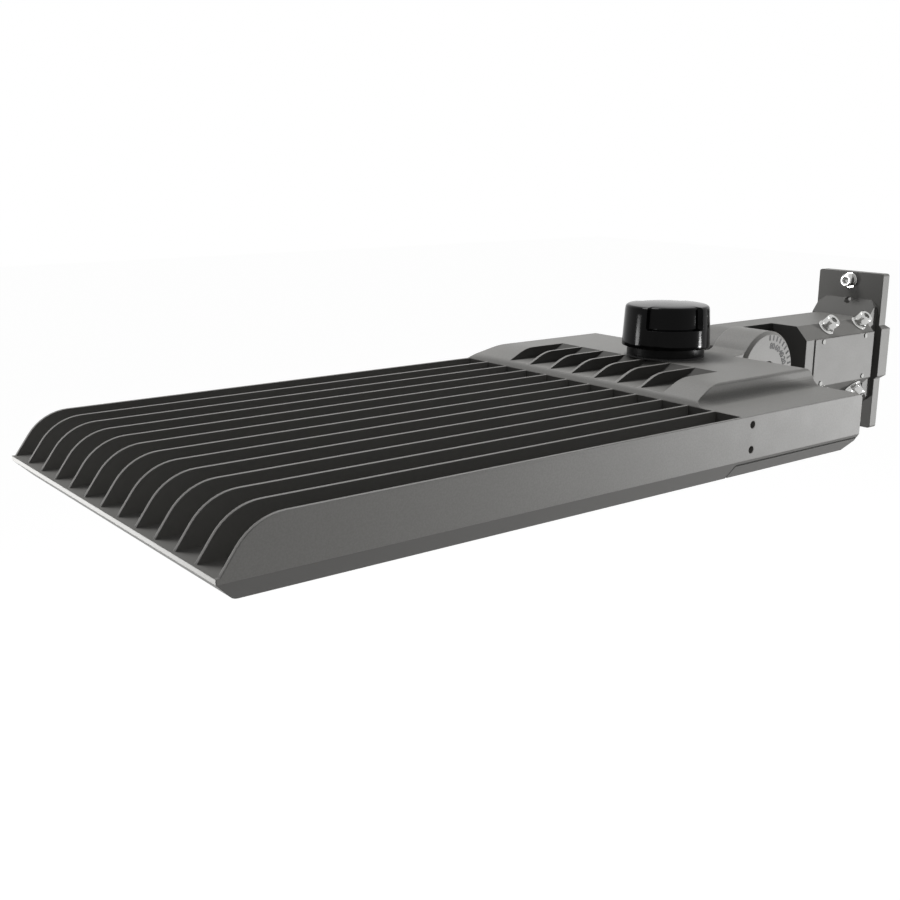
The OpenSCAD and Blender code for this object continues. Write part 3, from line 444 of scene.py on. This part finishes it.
mouldingPlan = {"flow": 45, "flowShades": (0.94, 1.06), "sheen": 130, "specular": 0.5, "grain": 900,
                "depth": 0.02 * mm, "edge": 0.5 * mm}
socketPlan = dict(mouldingPlan, colour=(0.006, 0.006, 0.006), roughness=(0.28, 0.40), specular=0.12)
capPaintPlan = dict(mouldingPlan, colour=(0.003, 0.003, 0.0032), roughness=(0.10, 0.14), specular=0.08,
                    grain=400, depth=0.008 * mm, edge=0.8 * mm)
rubberPlan = dict(mouldingPlan, colour=(0.022, 0.022, 0.022), roughness=(0.62, 0.78), grain=700,
                  depth=0.05 * mm)
driverPlan = dict(mouldingPlan, colour=(0.62, 0.62, 0.585), roughness=(0.38, 0.50), grain=1100,
                  depth=0.03 * mm, edge=1.0 * mm)
arresterPlan = dict(mouldingPlan, colour=(0.045, 0.10, 0.26), roughness=(0.26, 0.36))
terminalPlan = dict(mouldingPlan, colour=(0.72, 0.69, 0.60), roughness=(0.36, 0.48))
earthPlan = dict(mouldingPlan, colour=(0.05, 0.24, 0.08), roughness=(0.30, 0.42))
printPlan = dict(mouldingPlan, colour=(0.012, 0.012, 0.012), roughness=(0.6, 0.7), grain=1500,
                 depth=0.01 * mm, edge=0.1 * mm)


def mouldedFinish(name, plan):
    # moulded plastic or rubber: faint flow marks and a fine skin
    finish = Finish(name)
    flow = finish.noise(plan["flow"], detail=4, rough=0.65)
    dark, light = [shade(plan["colour"], times) for times in plan["flowShades"]]
    finish.colour(finish.blend(finish.span(flow, *middle), dark, light))
    finish.rough(finish.span(finish.noise(plan["sheen"], detail=3), *middle, *plan["roughness"]))
    finish.specular(plan["specular"])
    finish.bump(finish.noise(plan["grain"]), plan["depth"], normal=finish.softEdge(plan["edge"]))
    return finish.material


brassPlan = {"bright": (0.78, 0.60, 0.27, 1), "tarnished": (0.60, 0.43, 0.18, 1), "tarnish": 220,
             "tarnishSpan": (0.35, 0.7), "brush": 500, "roughness": (0.24, 0.42), "grain": 700,
             "depth": 0.01 * mm, "strength": 0.4, "edge": 0.2 * mm}


def brassFinish(name, plan):
    finish = Finish(name, metallic=1.0)
    tarnish = finish.span(finish.noise(plan["tarnish"], detail=4), *plan["tarnishSpan"])
    finish.colour(finish.blend(tarnish, plan["bright"], plan["tarnished"]))
    finish.rough(finish.span(finish.noise(plan["brush"]), *middle, *plan["roughness"]))
    finish.bump(finish.noise(plan["grain"]), plan["depth"], plan["strength"], finish.softEdge(plan["edge"]))
    return finish.material


lensPlan = {"clear": (0.98, 0.985, 0.985, 1), "hazy": (0.94, 0.955, 0.96, 1), "haze": 90,
            "transmission": 0.92, "index": 1.45, "sheen": 240, "roughness": (0.03, 0.09), "grain": 350,
            "depth": 0.01 * mm, "strength": 0.25}


def lensFinish(name, plan):
    # clear moulded acrylic, barely tinted
    finish = Finish(name)
    finish.shader.inputs["Transmission Weight"].default_value = plan["transmission"]
    finish.shader.inputs["IOR"].default_value = plan["index"]
    haze = finish.span(finish.noise(plan["haze"], detail=3), *middle)
    finish.colour(finish.blend(haze, plan["hazy"], plan["clear"]))
    finish.rough(finish.span(finish.noise(plan["sheen"]), *middle, *plan["roughness"]))
    finish.bump(finish.noise(plan["grain"]), plan["depth"], plan["strength"])
    return finish.material


boardPlan = {"mask": (0.83, 0.84, 0.82, 1), "maskTwo": (0.80, 0.81, 0.80, 1),
             "track": (0.66, 0.68, 0.66, 1), "scale": 48, "trackWidth": 0.03, "depth": 0.03 * mm,
             "strength": 0.4, "roughness": 0.4}


def boardFinish(name, plan):
    # white solder mask with a faint grid of tracks under it
    finish = Finish(name, roughness=plan["roughness"])
    brick = finish.nodes.new("ShaderNodeTexBrick")
    brick.inputs["Scale"].default_value = plan["scale"]
    brick.inputs["Mortar Size"].default_value = plan["trackWidth"]
    brick.inputs["Color1"].default_value = plan["mask"]
    brick.inputs["Color2"].default_value = plan["maskTwo"]
    brick.inputs["Mortar"].default_value = plan["track"]
    finish.link(finish.place, brick.inputs["Vector"])
    finish.colour(brick.outputs["Color"])
    finish.bump(brick.outputs["Fac"], plan["depth"], plan["strength"])
    return finish.material


chipPlan = {"deep": (0.86, 0.66, 0.12, 1), "pale": (0.93, 0.78, 0.24, 1), "spots": 1400,
            "spotSpan": (0.35, 0.65), "depth": 0.02 * mm, "strength": 0.4, "roughness": 0.35}


def chipFinish(name, plan):
    # yellow phosphor with fine spots
    finish = Finish(name, roughness=plan["roughness"])
    spots = finish.noise(plan["spots"], detail=1)
    finish.colour(finish.blend(finish.span(spots, *plan["spotSpan"]), plan["deep"], plan["pale"]))
    finish.bump(spots, plan["depth"], plan["strength"])
    return finish.material


finishes = {
    "paint": paintFinish("powderPaint", paintPlan),
    "finPaint": paintFinish("powderPaintFins", paintPlan, (channelMask, channelTint), (wallMask, wallPaintedShade),
                            (grooveMask, groovePaintedShade), (seamMask, seamTint), (lipMask, lipPaintedHighlight)),
    "armPaint": paintFinish("powderPaintArm", armPaintPlan, (notchMask, notchTint)),
    "platePaint": paintFinish("powderPaintPlate", armPaintPlan, (plateMask, plateTint)),
    "sidePaint": paintFinish("powderPaintSide", armPaintPlan),
    "doorPaint": paintFinish("powderPaintDoor", paintPlan, (seamMask, seamTint)),
    "zinc": zincFinish("brightZinc", zincPlan),
    "dullZinc": zincFinish("dullZinc", dullZincPlan),
    "black": mouldedFinish("socketBlack", socketPlan),
    "cap": mouldedFinish("capBlack", capPaintPlan),
    "rubber": mouldedFinish("siliconeRubber", rubberPlan),
    "brass": brassFinish("bladeBrass", brassPlan),
    "lens": lensFinish("clearAcrylic", lensPlan),
    "board": boardFinish("boardWhite", boardPlan),
    "chip": chipFinish("phosphorYellow", chipPlan),
    "driver": mouldedFinish("driverWhite", driverPlan),
    "blue": mouldedFinish("arresterBlue", arresterPlan),
    "ivory": mouldedFinish("terminalIvory", terminalPlan),
    "green": mouldedFinish("earthGreen", earthPlan),
    "print": mouldedFinish("scalePrint", printPlan),
}

castFinish = {
    "housing": "finPaint", "led_boards": "board", "led_chips": "chip", "lens_gasket": "rubber",
    "lens_panels": "lens", "lens_frame": "paint", "frame_screws": "zinc", "led_driver": "driver",
    "driver_screws": "zinc", "surge_protector": "blue", "terminal_block": "ivory", "ground_screw": "green",
    "wire_bushing": "rubber", "breather_vent": "black", "receptacle_gasket": "rubber",
    "door_hinge_pins": "zinc", "driver_door": "doorPaint", "door_gasket": "rubber", "door_screws": "zinc",
    "photocell_receptacle": "black", "receptacle_contacts": "brass", "receptacle_lock_ring": "black",
    "shorting_cap": "cap", "cap_blades": "brass", "cap_gasket": "rubber", "slip_fitter": "armPaint",
    "set_bolts": "zinc", "jam_nuts": "zinc", "side_plate": "sidePaint", "side_plate_pins": "dullZinc",
    "friction_ring": "rubber", "pivot_bolt": "zinc", "pivot_washer": "zinc", "pivot_nut": "zinc",
    "pole_adaptor": "platePaint", "pole_gasket": "rubber", "pole_bolts": "zinc", "pole_washers": "zinc",
}
for nodeName, finishName in castFinish.items():
    mesh = castNodes[nodeName].data
    mesh.materials.clear()
    mesh.materials.append(finishes[finishName])
print("finishes ready")

# pieces and the ways to make them

roundSteps = {"head": 48, "shank": 32, "washer": 64, "nut": 72, "screw": 36, "cap": 360}


def hexRadius(corner):
    # distance from the middle to the side of a hexagon at an angle
    flat = corner * math.cos(math.pi / 6)
    return lambda angle: flat / math.cos(angle % (math.pi / 3) - math.pi / 6)


def limited(shape, most):
    return lambda angle: min(shape(angle), most)


def ringBody(bm, rings, steps, closed=False):
    # rings of (height, radius) from one end to the other; closed joins the last to the first
    made = bmesh.ops.create_circle(bm, cap_ends=False, segments=steps, radius=1.0)["verts"]
    edges = list(dict.fromkeys(edge for vert in made for edge in vert.link_edges))  # each once, in order
    firstEdges, everything = edges, list(made)

    def settle(verts, height, radius):
        for vert in verts:
            angle = math.atan2(vert.co.y, vert.co.x)
            away = radius(angle) if callable(radius) else radius
            vert.co = (away * math.cos(angle), away * math.sin(angle), height)

    settle(made, *rings[0])
    for height, radius in rings[1:] + (rings[:1] if closed else []):
        grown = bmesh.ops.extrude_edge_only(bm, edges=edges)["geom"]
        verts = [item for item in grown if isinstance(item, bmesh.types.BMVert)]
        edges = [item for item in grown if isinstance(item, bmesh.types.BMEdge)]
        settle(verts, height, radius)
        everything += verts
    if closed:
        bmesh.ops.remove_doubles(bm, verts=everything, dist=weldGap)
    else:
        bmesh.ops.contextual_create(bm, geom=firstEdges)
        bmesh.ops.contextual_create(bm, geom=edges)
    return [vert for vert in everything if vert.is_valid]


def placed(bm, verts, matrix):
    bmesh.ops.transform(bm, matrix=matrix, verts=verts)


def moved(x=0.0, y=0.0, z=0.0):
    return Matrix.Translation((x, y, z))


def turned(angle, axis):
    return Matrix.Rotation(angle, 4, axis)


def addPiece(name, bm, finish, body, sharp=32.0):
    # smooth shaded, apart from edges that turn by more than the sharp angle
    bmesh.ops.recalc_face_normals(bm, faces=bm.faces)
    for face in bm.faces:
        face.smooth = True
    for edge in bm.edges:
        edge.smooth = len(edge.link_faces) == 2 and edge.calc_face_angle(0) < math.radians(sharp)
    mesh = bpy.data.meshes.new(name)
    bm.to_mesh(mesh)
    bm.free()
    mesh.materials.append(finishes[finish])
    piece = bpy.data.objects.new(name, mesh)
    bpy.context.scene.collection.objects.link(piece)
    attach(piece, body)
    return piece


# a cap-screw head: the rim is a share of the radius, its edges are shares of the rim, as (along, inward),
# and the hole's mouth and point are shares of the socket
headShape = {"rim": 0.09, "foot": ((0, 0.6), (0.6, 0)), "top": ((1.6, 0), (1.2, 0.25), (0.4, 1), (0, 1.9)),
             "mouth": 1.16, "mouthDepth": 0.1, "point": 0.12, "pointDepth": 0.28}
shankTip = {"size": 0.16, "edge": ((0, 1.6), (1, 0.4), (1.6, 0))}  # shares of the radius and of the size


def socketHead(bm, plan):
    # cap-screw head standing on Z = 0, with a chamfered rim and a hex socket
    radius, height, socket = plan["headRadius"], plan["headHeight"], plan["socket"]
    floor, hexagon, rim = height - plan["depth"], hexRadius(socket), headShape["rim"] * radius
    rings = [(rim * up, radius - rim * inward) for up, inward in headShape["foot"]]
    rings += [(height - rim * down, radius - rim * inward) for down, inward in headShape["top"]]
    rings += [(height, socket * headShape["mouth"]), (height - socket * headShape["mouthDepth"], hexagon),
              (floor, hexagon), (floor - socket * headShape["pointDepth"], socket * headShape["point"])]
    return ringBody(bm, rings, roundSteps["head"])


def plainShank(bm, radius, low, high):
    # a pin along Z, eased at its low end
    size = shankTip["size"] * radius
    rings = [(low + size * up, radius - size * inward) for up, inward in shankTip["edge"]]
    return ringBody(bm, rings + [(high, radius)], roundSteps["shank"])


def flatRing(bm, inner, outer, low, high, rim):
    # a washer along Z, its edges broken by the rim
    return ringBody(bm, [
        (low + rim, inner), (low, inner + rim), (low, outer - rim), (low + rim, outer),
        (high - rim, outer), (high, outer - rim), (high, inner + rim), (high - rim, inner)],
        roundSteps["washer"], closed=True)


# set bolts with their jam nuts, on two bevels of the arm
setPlan = {
    "x": (45 * mm, 101 * mm), "tilts": (-45, -135), "seat": 46.386 * mm, "tip": 30.25 * mm,
    "radius": 4 * mm, "headRadius": 7.1 * mm, "headHeight": 8 * mm, "socket": 3.5 * mm, "depth": 4.5 * mm,
    "intoHead": 0.5 * mm, "headTurn": 0.3, "nutTurn": 0.5,
    "nutHeight": 5 * mm, "nutRadius": 7.5 * mm, "nutTop": ((0.7 * mm, 1), (0.35 * mm, 0.955), (0, 0.885)),
    "flange": ((0, 0.4 * mm), (0.35 * mm, 0), (0.8 * mm, 0), (1.5 * mm, 0.9 * mm)),
    "flangeRadius": 8.75 * mm, "hexFrom": 1.8 * mm, "dish": 0.1 * mm, "boreGap": 0.06 * mm,
    "boreChamfer": 0.5 * mm,
}


def flangedNut(bm, plan):
    # hex nut standing on Z = 0 on its flange, with a chamfered top
    corner, top, bore = plan["nutRadius"], plan["nutHeight"], plan["radius"] + plan["boreGap"]
    hexagon = hexRadius(corner)
    rings = [(plan["dish"], bore)]
    rings += [(up, plan["flangeRadius"] - inward) for up, inward in plan["flange"]]
    rings += [(plan["hexFrom"], hexagon)]
    rings += [(top - down, limited(hexagon, corner * share)) for down, share in plan["nutTop"]]
    rings += [(top, plan["radius"] + plan["boreChamfer"]), (top - plan["boreChamfer"], bore)]
    return ringBody(bm, rings, roundSteps["nut"], closed=True)


def makeSetBolts(plan):
    bolts, nuts = bmesh.new(), bmesh.new()
    for number, x in enumerate(plan["x"]):
        for tilt in map(math.radians, plan["tilts"]):
            spot = moved(x=x) @ turned(tilt, "X") @ moved(z=plan["seat"])
            onNut = moved(z=plan["nutHeight"]) @ turned(plan["headTurn"] * number + tilt, "Z")
            placed(bolts, socketHead(bolts, plan), spot @ onNut)
            shank = plainShank(bolts, plan["radius"], plan["tip"] - plan["seat"],
                               plan["nutHeight"] + plan["intoHead"])
            placed(bolts, shank, spot)
            placed(nuts, flangedNut(nuts, plan), spot @ turned(plan["nutTurn"] * tilt + x, "Z"))
    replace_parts(addPiece("setBolts", bolts, "zinc", "arm"), "set_bolts")
    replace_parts(addPiece("jamNuts", nuts, "zinc", "arm"), "jam_nuts")


# pole bolts: cap screws with washers, threaded ends behind the plate
poleBoltPlan = {
    "z": 72.7 * mm, "plateFront": 15.7 * mm, "radius": 4 * mm, "shankGap": 0.02 * mm,
    "washer": 1.6 * mm, "washerRadius": 8.2 * mm, "washerGap": 0.05 * mm, "washerRim": 0.25 * mm,
    "headRadius": 6.6 * mm, "headHeight": 8 * mm, "socket": 3.5 * mm, "depth": 4.5 * mm,
    "intoHead": 0.4 * mm, "headTurn": 0.4,
    "out": 30 * mm, "point": 0.9 * mm, "pointShare": 0.72, "threadTo": 4.2 * mm, "runOut": 0.6 * mm,
    "ridgeFrom": 1.2 * mm, "root": 3.2 * mm, "crest": 3.74 * mm, "pitch": 1.25 * mm, "flank": 0.46,
    "sunk": 0.98, "ridgeSteps": 18,
}


def threadRidge(bm, low, high, plan):
    # a helical ridge from low to high along Z
    width, foot = plan["pitch"] * plan["flank"], plan["root"] * plan["sunk"]
    corners = ((foot, 0, low - width), (plan["crest"], 0, low), (foot, 0, low + width))
    section = [bm.verts.new(corner) for corner in corners]
    edges = [bm.edges.new((section[number - 1], section[number])) for number in (1, 2, 0)]
    face = bm.faces.new(section)
    turns = (high - low) / plan["pitch"]
    bmesh.ops.spin(bm, geom=section + edges + [face], cent=(0, 0, 0), axis=(0, 0, 1),
                   dvec=(0, 0, plan["pitch"] / plan["ridgeSteps"]), angle=turns * 2 * math.pi,
                   steps=int(turns * plan["ridgeSteps"]), use_duplicate=False)


def makePoleBolts(plan):
    bolts, washers = bmesh.new(), bmesh.new()
    seat, shank = plan["plateFront"] + plan["washer"], plan["radius"] - plan["shankGap"]
    end, threadEnd = -seat - plan["out"], plan["threadTo"] - seat
    rings = [(end, plan["root"] * plan["pointShare"]), (end + plan["point"], plan["root"]),
             (threadEnd, plan["root"]), (threadEnd + plan["runOut"], shank), (plan["intoHead"], shank)]
    forward = turned(math.pi / 2, "Y")
    for side in (-1, 1):
        spot = moved(seat, 0, side * plan["z"]) @ forward
        placed(bolts, socketHead(bolts, plan), spot @ turned(plan["headTurn"] * side, "Z"))
        placed(bolts, ringBody(bolts, rings, roundSteps["screw"]), spot)
        before = set(bolts.verts)
        threadRidge(bolts, end + plan["ridgeFrom"], threadEnd - plan["runOut"], plan)
        placed(bolts, [vert for vert in bolts.verts if vert not in before], spot)
        washer = flatRing(washers, plan["radius"] + plan["washerGap"], plan["washerRadius"],
                          0, plan["washer"], plan["washerRim"])
        placed(washers, washer, moved(plan["plateFront"], 0, side * plan["z"]) @ forward)
    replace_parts(addPiece("poleBolts", bolts, "zinc", "arm"), "pole_bolts")
    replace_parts(addPiece("poleWashers", washers, "zinc", "arm"), "pole_washers")


# pivot bolt in the drum, its washer, and the nut in the cheek
pivotPlan = {
    "x": 202 * mm, "washerFrom": 27.3 * mm, "washer": 2 * mm, "washerRadius": 9.7 * mm,
    "washerGap": 0.05 * mm, "washerRim": 0.3 * mm,
    "radius": 6 * mm, "headRadius": 9 * mm, "headHeight": 12 * mm, "socket": 5.25 * mm, "depth": 5.4 * mm,
    "end": -40.6 * mm, "intoHead": 0.4 * mm,
    "nutFrom": -41.6 * mm, "nutHeight": 10.8 * mm, "nutRadius": 11 * mm,
    "nutFoot": ((0, 0.88), (0.45 * mm, 0.95), (0.9 * mm, 1)), "boreGap": 0.06 * mm,
    "boreChamfer": (0.5 * mm, 0.6 * mm),
}


def pivotNut(bm, plan):
    # hex nut with a chamfered foot
    low, corner, bore = plan["nutFrom"], plan["nutRadius"], plan["radius"] + plan["boreGap"]
    hexagon, high = hexRadius(corner), low + plan["nutHeight"]
    chamferUp, chamferOut = plan["boreChamfer"]
    rings = [(low + chamferUp, bore), (low, plan["radius"] + chamferOut)]
    rings += [(low + up, limited(hexagon, corner * share)) for up, share in plan["nutFoot"]]
    return ringBody(bm, rings + [(high, hexagon), (high, bore)], roundSteps["nut"], closed=True)


def makePivot(plan):
    bolt, washer, nut = bmesh.new(), bmesh.new(), bmesh.new()
    outward = moved(x=plan["x"]) @ turned(-math.pi / 2, "X")
    seat = plan["washerFrom"] + plan["washer"]
    placed(bolt, socketHead(bolt, plan), outward @ moved(z=seat))
    placed(bolt, plainShank(bolt, plan["radius"], plan["end"], seat + plan["intoHead"]), outward)
    placed(washer, flatRing(washer, plan["radius"] + plan["washerGap"], plan["washerRadius"],
                            plan["washerFrom"], seat, plan["washerRim"]), outward)
    placed(nut, pivotNut(nut, plan), outward)
    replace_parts(addPiece("pivotBolt", bolt, "zinc", "arm"), "pivot_bolt")
    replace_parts(addPiece("pivotWasher", washer, "zinc", "arm"), "pivot_washer")
    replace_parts(addPiece("pivotNut", nut, "zinc", "arm"), "pivot_nut")


# screws seen from below: lens frame, driver door; and those inside the compartment.
# The head's edge is in shares of the rim, as (along, inward), and the hole in shares of the socket
screwPlan = {
    "finish": "zinc", "slot": "zinc", "body": "head", "turn": 0.7, "tipShare": 0.7, "tipLength": 0.5 * mm,
    "step": 0.1 * mm, "rim": 0.3 * mm, "edge": ((2.2, 0), (0.9, 0.5), (0.2, 1.6), (0, 3)),
    "mouth": 1.15, "point": 0.1, "pointDepth": 0.2,
}
screwPlans = {
    "frameScrews": dict(screwPlan, node="frame_screws", radius=2 * mm, head=3.8 * mm, height=1.6 * mm,
                        seat=-39.5 * mm, tip=-28.45 * mm, socket=1.7 * mm, depth=1.0 * mm),
    "doorScrews": dict(screwPlan, node="door_screws", body="door", radius=2.5 * mm, head=4.5 * mm,
                       height=3 * mm, seat=-42.5 * mm, tip=-27 * mm, socket=2.3 * mm, depth=1.9 * mm),
    "driverScrews": dict(screwPlan, node="driver_screws", radius=2 * mm, head=3.8 * mm, height=2.4 * mm,
                         seat=2 * mm, tip=7.95 * mm, socket=1.9 * mm, depth=1.4 * mm),
    "groundScrew": dict(screwPlan, node="ground_screw", radius=2.5 * mm, head=4.5 * mm, height=3 * mm,
                        seat=0, tip=2.95 * mm, socket=2.3 * mm, depth=1.7 * mm, finish="green",
                        slot="green_screw"),
}


def screwCentres(node):
    # the middle of each loose shell of a CAD node, seen from above
    bm = bmesh.new()
    bm.from_mesh(castNodes[node].data)
    bmesh.ops.remove_doubles(bm, verts=bm.verts, dist=shellGap)
    left, centres = set(bm.verts), []
    while left:
        shell, waiting = set(), [left.pop()]
        while waiting:
            vert = waiting.pop()
            shell.add(vert)
            for link in vert.link_edges:
                other = link.other_vert(vert)
                if other in left:
                    left.discard(other)
                    waiting.append(other)
        low = [min(vert.co[axis] for vert in shell) for axis in range(2)]
        high = [max(vert.co[axis] for vert in shell) for axis in range(2)]
        centres.append(((low[0] + high[0]) / 2, (low[1] + high[1]) / 2))
    bm.free()
    return sorted(centres)


def screwRings(plan):
    # one screw from its tip down to its head, which looks down
    radius, head, seat, socket = plan["radius"], plan["head"], plan["seat"], plan["socket"]
    rim, step, hexagon = plan["rim"], plan["step"], hexRadius(socket)
    low = seat - plan["height"]
    floor = low + plan["depth"]
    rings = [(plan["tip"], radius * plan["tipShare"]), (plan["tip"] - plan["tipLength"], radius),
             (seat, radius), (seat, head - step), (seat - 2 * step, head)]
    rings += [(low + rim * up, head - rim * inward) for up, inward in plan["edge"]]
    rings += [(low, socket * plan["mouth"]), (low + step, hexagon), (floor, hexagon),
              (floor + socket * plan["pointDepth"], socket * plan["point"])]
    return rings


def makeScrews(name, plan):
    bm = bmesh.new()
    rings = screwRings(plan)
    for number, (x, y) in enumerate(screwCentres(plan["node"])):
        screw = ringBody(bm, rings, roundSteps["screw"])
        placed(bm, screw, moved(x, y) @ turned(plan["turn"] * number, "Z"))
    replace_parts(addPiece(name, bm, plan["finish"], plan["body"]), plan["node"])


# twist-lock cap: drafted skirt, crowned top, two long finger grips; hub and foot are rings of (height,
# radius) and (height, inward), and the levels are heights in millimetres
capPlan = {
    "place": (297 * mm, -4 * mm, 29.1 * mm), "radius": 40.5 * mm, "height": 38.9 * mm, "draft": 2.2 * mm,
    "hub": ((5 * mm, 9 * mm), (0.3 * mm, 9.4 * mm), (0, 10 * mm)),
    "sealInner": 26 * mm, "sealOuter": 32 * mm, "sealDepth": 2 * mm, "sealEase": 0.1 * mm,
    "foot": ((0, 0.8 * mm), (0.25 * mm, 0.2 * mm), (0.8 * mm, 0)),
    "levels": (4, 8, 12, 16, 17.2, 17.7, 18.0, 18.5, 19.2, 22, 26, 30, 33),
    "edge": 3 * mm, "edgeRise": 0.25 * mm, "edgeSteps": 6,
    "crown": 1.6 * mm, "crownShares": (0.85, 0.65, 0.45, 0.25, 0.08),
    "gripDepth": 4.6 * mm, "gripFoot": 18 * mm, "gripStart": 14, "gripSweep": 83, "gripEase": 1.6,
    "footEase": 1.2 * mm, "fadeFrom": 0.8,
}


def capRings(plan, top, crownFrom):
    # the cap before its grips are pressed in, from the hub under it to the crown
    radius, edge, rise = plan["radius"], plan["edge"], plan["edgeRise"]
    rings = list(plan["hub"])
    rings += [(0, plan["sealInner"] - plan["sealEase"]), (plan["sealDepth"], plan["sealInner"]),
              (plan["sealDepth"], plan["sealOuter"]), (0, plan["sealOuter"] + plan["sealEase"])]
    rings += [(up, radius - inward) for up, inward in plan["foot"]]
    rings += [(z * mm, radius - plan["draft"] * z * mm / plan["height"]) for z in plan["levels"]]
    for step in range(plan["edgeSteps"] + 1):
        share = step / plan["edgeSteps"]
        angle = math.pi / 2 * share
        z = top - edge + edge * math.sin(angle) + rise * share
        rings.append((z, crownFrom + edge * math.cos(angle)))
    for share in plan["crownShares"]:
        rings.append((top + rise + (plan["crown"] - rise) * (1 - share * share), crownFrom * share))
    return rings


def shareOf(value):
    return max(0.0, min(1.0, value))


def makeCap(plan):
    bm = bmesh.new()
    top = plan["height"] - plan["crown"]
    crownFrom = plan["radius"] - plan["draft"] * top / plan["height"] - plan["edge"]
    fadeFrom = crownFrom * plan["fadeFrom"]
    verts = ringBody(bm, capRings(plan, top, crownFrom), roundSteps["cap"])
    for vert in verts:
        angle = math.degrees(math.atan2(vert.co.y, vert.co.x)) % 180 - plan["gripStart"]
        away = math.hypot(vert.co.x, vert.co.y)
        inGrip = shareOf(min(angle, plan["gripSweep"] - angle) / plan["gripEase"])
        overFoot = shareOf((vert.co.z - plan["gripFoot"]) / plan["footEase"] + 0.5)
        amount = inGrip * overFoot
        if amount and away > fadeFrom:
            # keep the rounded top edge by moving the outline, fading out over the crown
            fade = shareOf((away - fadeFrom) / (crownFrom - fadeFrom))
            less = (away - plan["gripDepth"] * amount * fade) / away
            vert.co.x *= less
            vert.co.y *= less
    placed(bm, verts, moved(*plan["place"]))
    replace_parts(addPiece("twistCap", bm, "cap", "cap", sharp=40), "shorting_cap")


# tilt scale on the face of the drum: generic degree marks
scalePlan = {
    "x": 202 * mm, "face": 41.6 * mm, "raise": 0.12 * mm, "from": -10, "to": 90, "step": 10, "every": 20,
    "outer": 34.8 * mm, "long": 5.0 * mm, "width": 2.0 * mm,
    "numbers": 24.4 * mm, "textSize": 7.6 * mm, "textBold": 0.05, "textSteps": 3,
}


def textPart(bm, text, plan, matrix):
    curve = bpy.data.curves.new("scaleText", "FONT")
    curve.body = text
    curve.size = plan["textSize"]
    curve.align_x = "CENTER"
    curve.align_y = "CENTER"
    curve.extrude = plan["raise"]
    curve.offset = plan["textSize"] * plan["textBold"]
    curve.resolution_u = plan["textSteps"]
    holder = bpy.data.objects.new("scaleText", curve)
    bpy.context.scene.collection.objects.link(holder)
    bpy.context.view_layer.update()
    mesh = bpy.data.meshes.new_from_object(holder)
    part = bmesh.new()
    part.from_mesh(mesh)
    bmesh.ops.remove_doubles(part, verts=part.verts, dist=weldGap)
    placed(part, part.verts, matrix)
    part.to_mesh(mesh)
    part.free()
    bm.from_mesh(mesh)
    bpy.data.objects.remove(holder)
    bpy.data.curves.remove(curve)
    bpy.data.meshes.remove(mesh)


def makeScale(plan):
    bm = bmesh.new()
    face, centre = Vector((0, 1, 0)), Vector((plan["x"], plan["face"], 0))
    for degree in range(plan["from"], plan["to"] + 1, plan["step"]):
        angle = math.radians(180 - degree)
        outward = Vector((math.cos(angle), 0, math.sin(angle)))
        upright = Matrix((outward.cross(face), outward, face)).transposed().to_4x4()
        tick = bmesh.ops.create_cube(bm, size=1.0)["verts"]
        spot = Matrix.Translation(centre + outward * (plan["outer"] - plan["long"] / 2)) @ upright
        placed(bm, tick, spot @ Matrix.Diagonal((plan["width"], plan["long"], 2 * plan["raise"], 1)))
        if degree % plan["every"] == 0:
            spot = Matrix.Translation(centre + outward * plan["numbers"]) @ upright
            textPart(bm, str(degree), plan, spot)
    addPiece("tiltScale", bm, "print", "head")


makeSetBolts(setPlan)
makePoleBolts(poleBoltPlan)
makePivot(pivotPlan)
print("bolts and nuts made")
for screwName, oneScrewPlan in screwPlans.items():
    makeScrews(screwName, oneScrewPlan)
print("screws made")
makeCap(capPlan)
makeScale(scalePlan)
print("cap and tilt scale made")
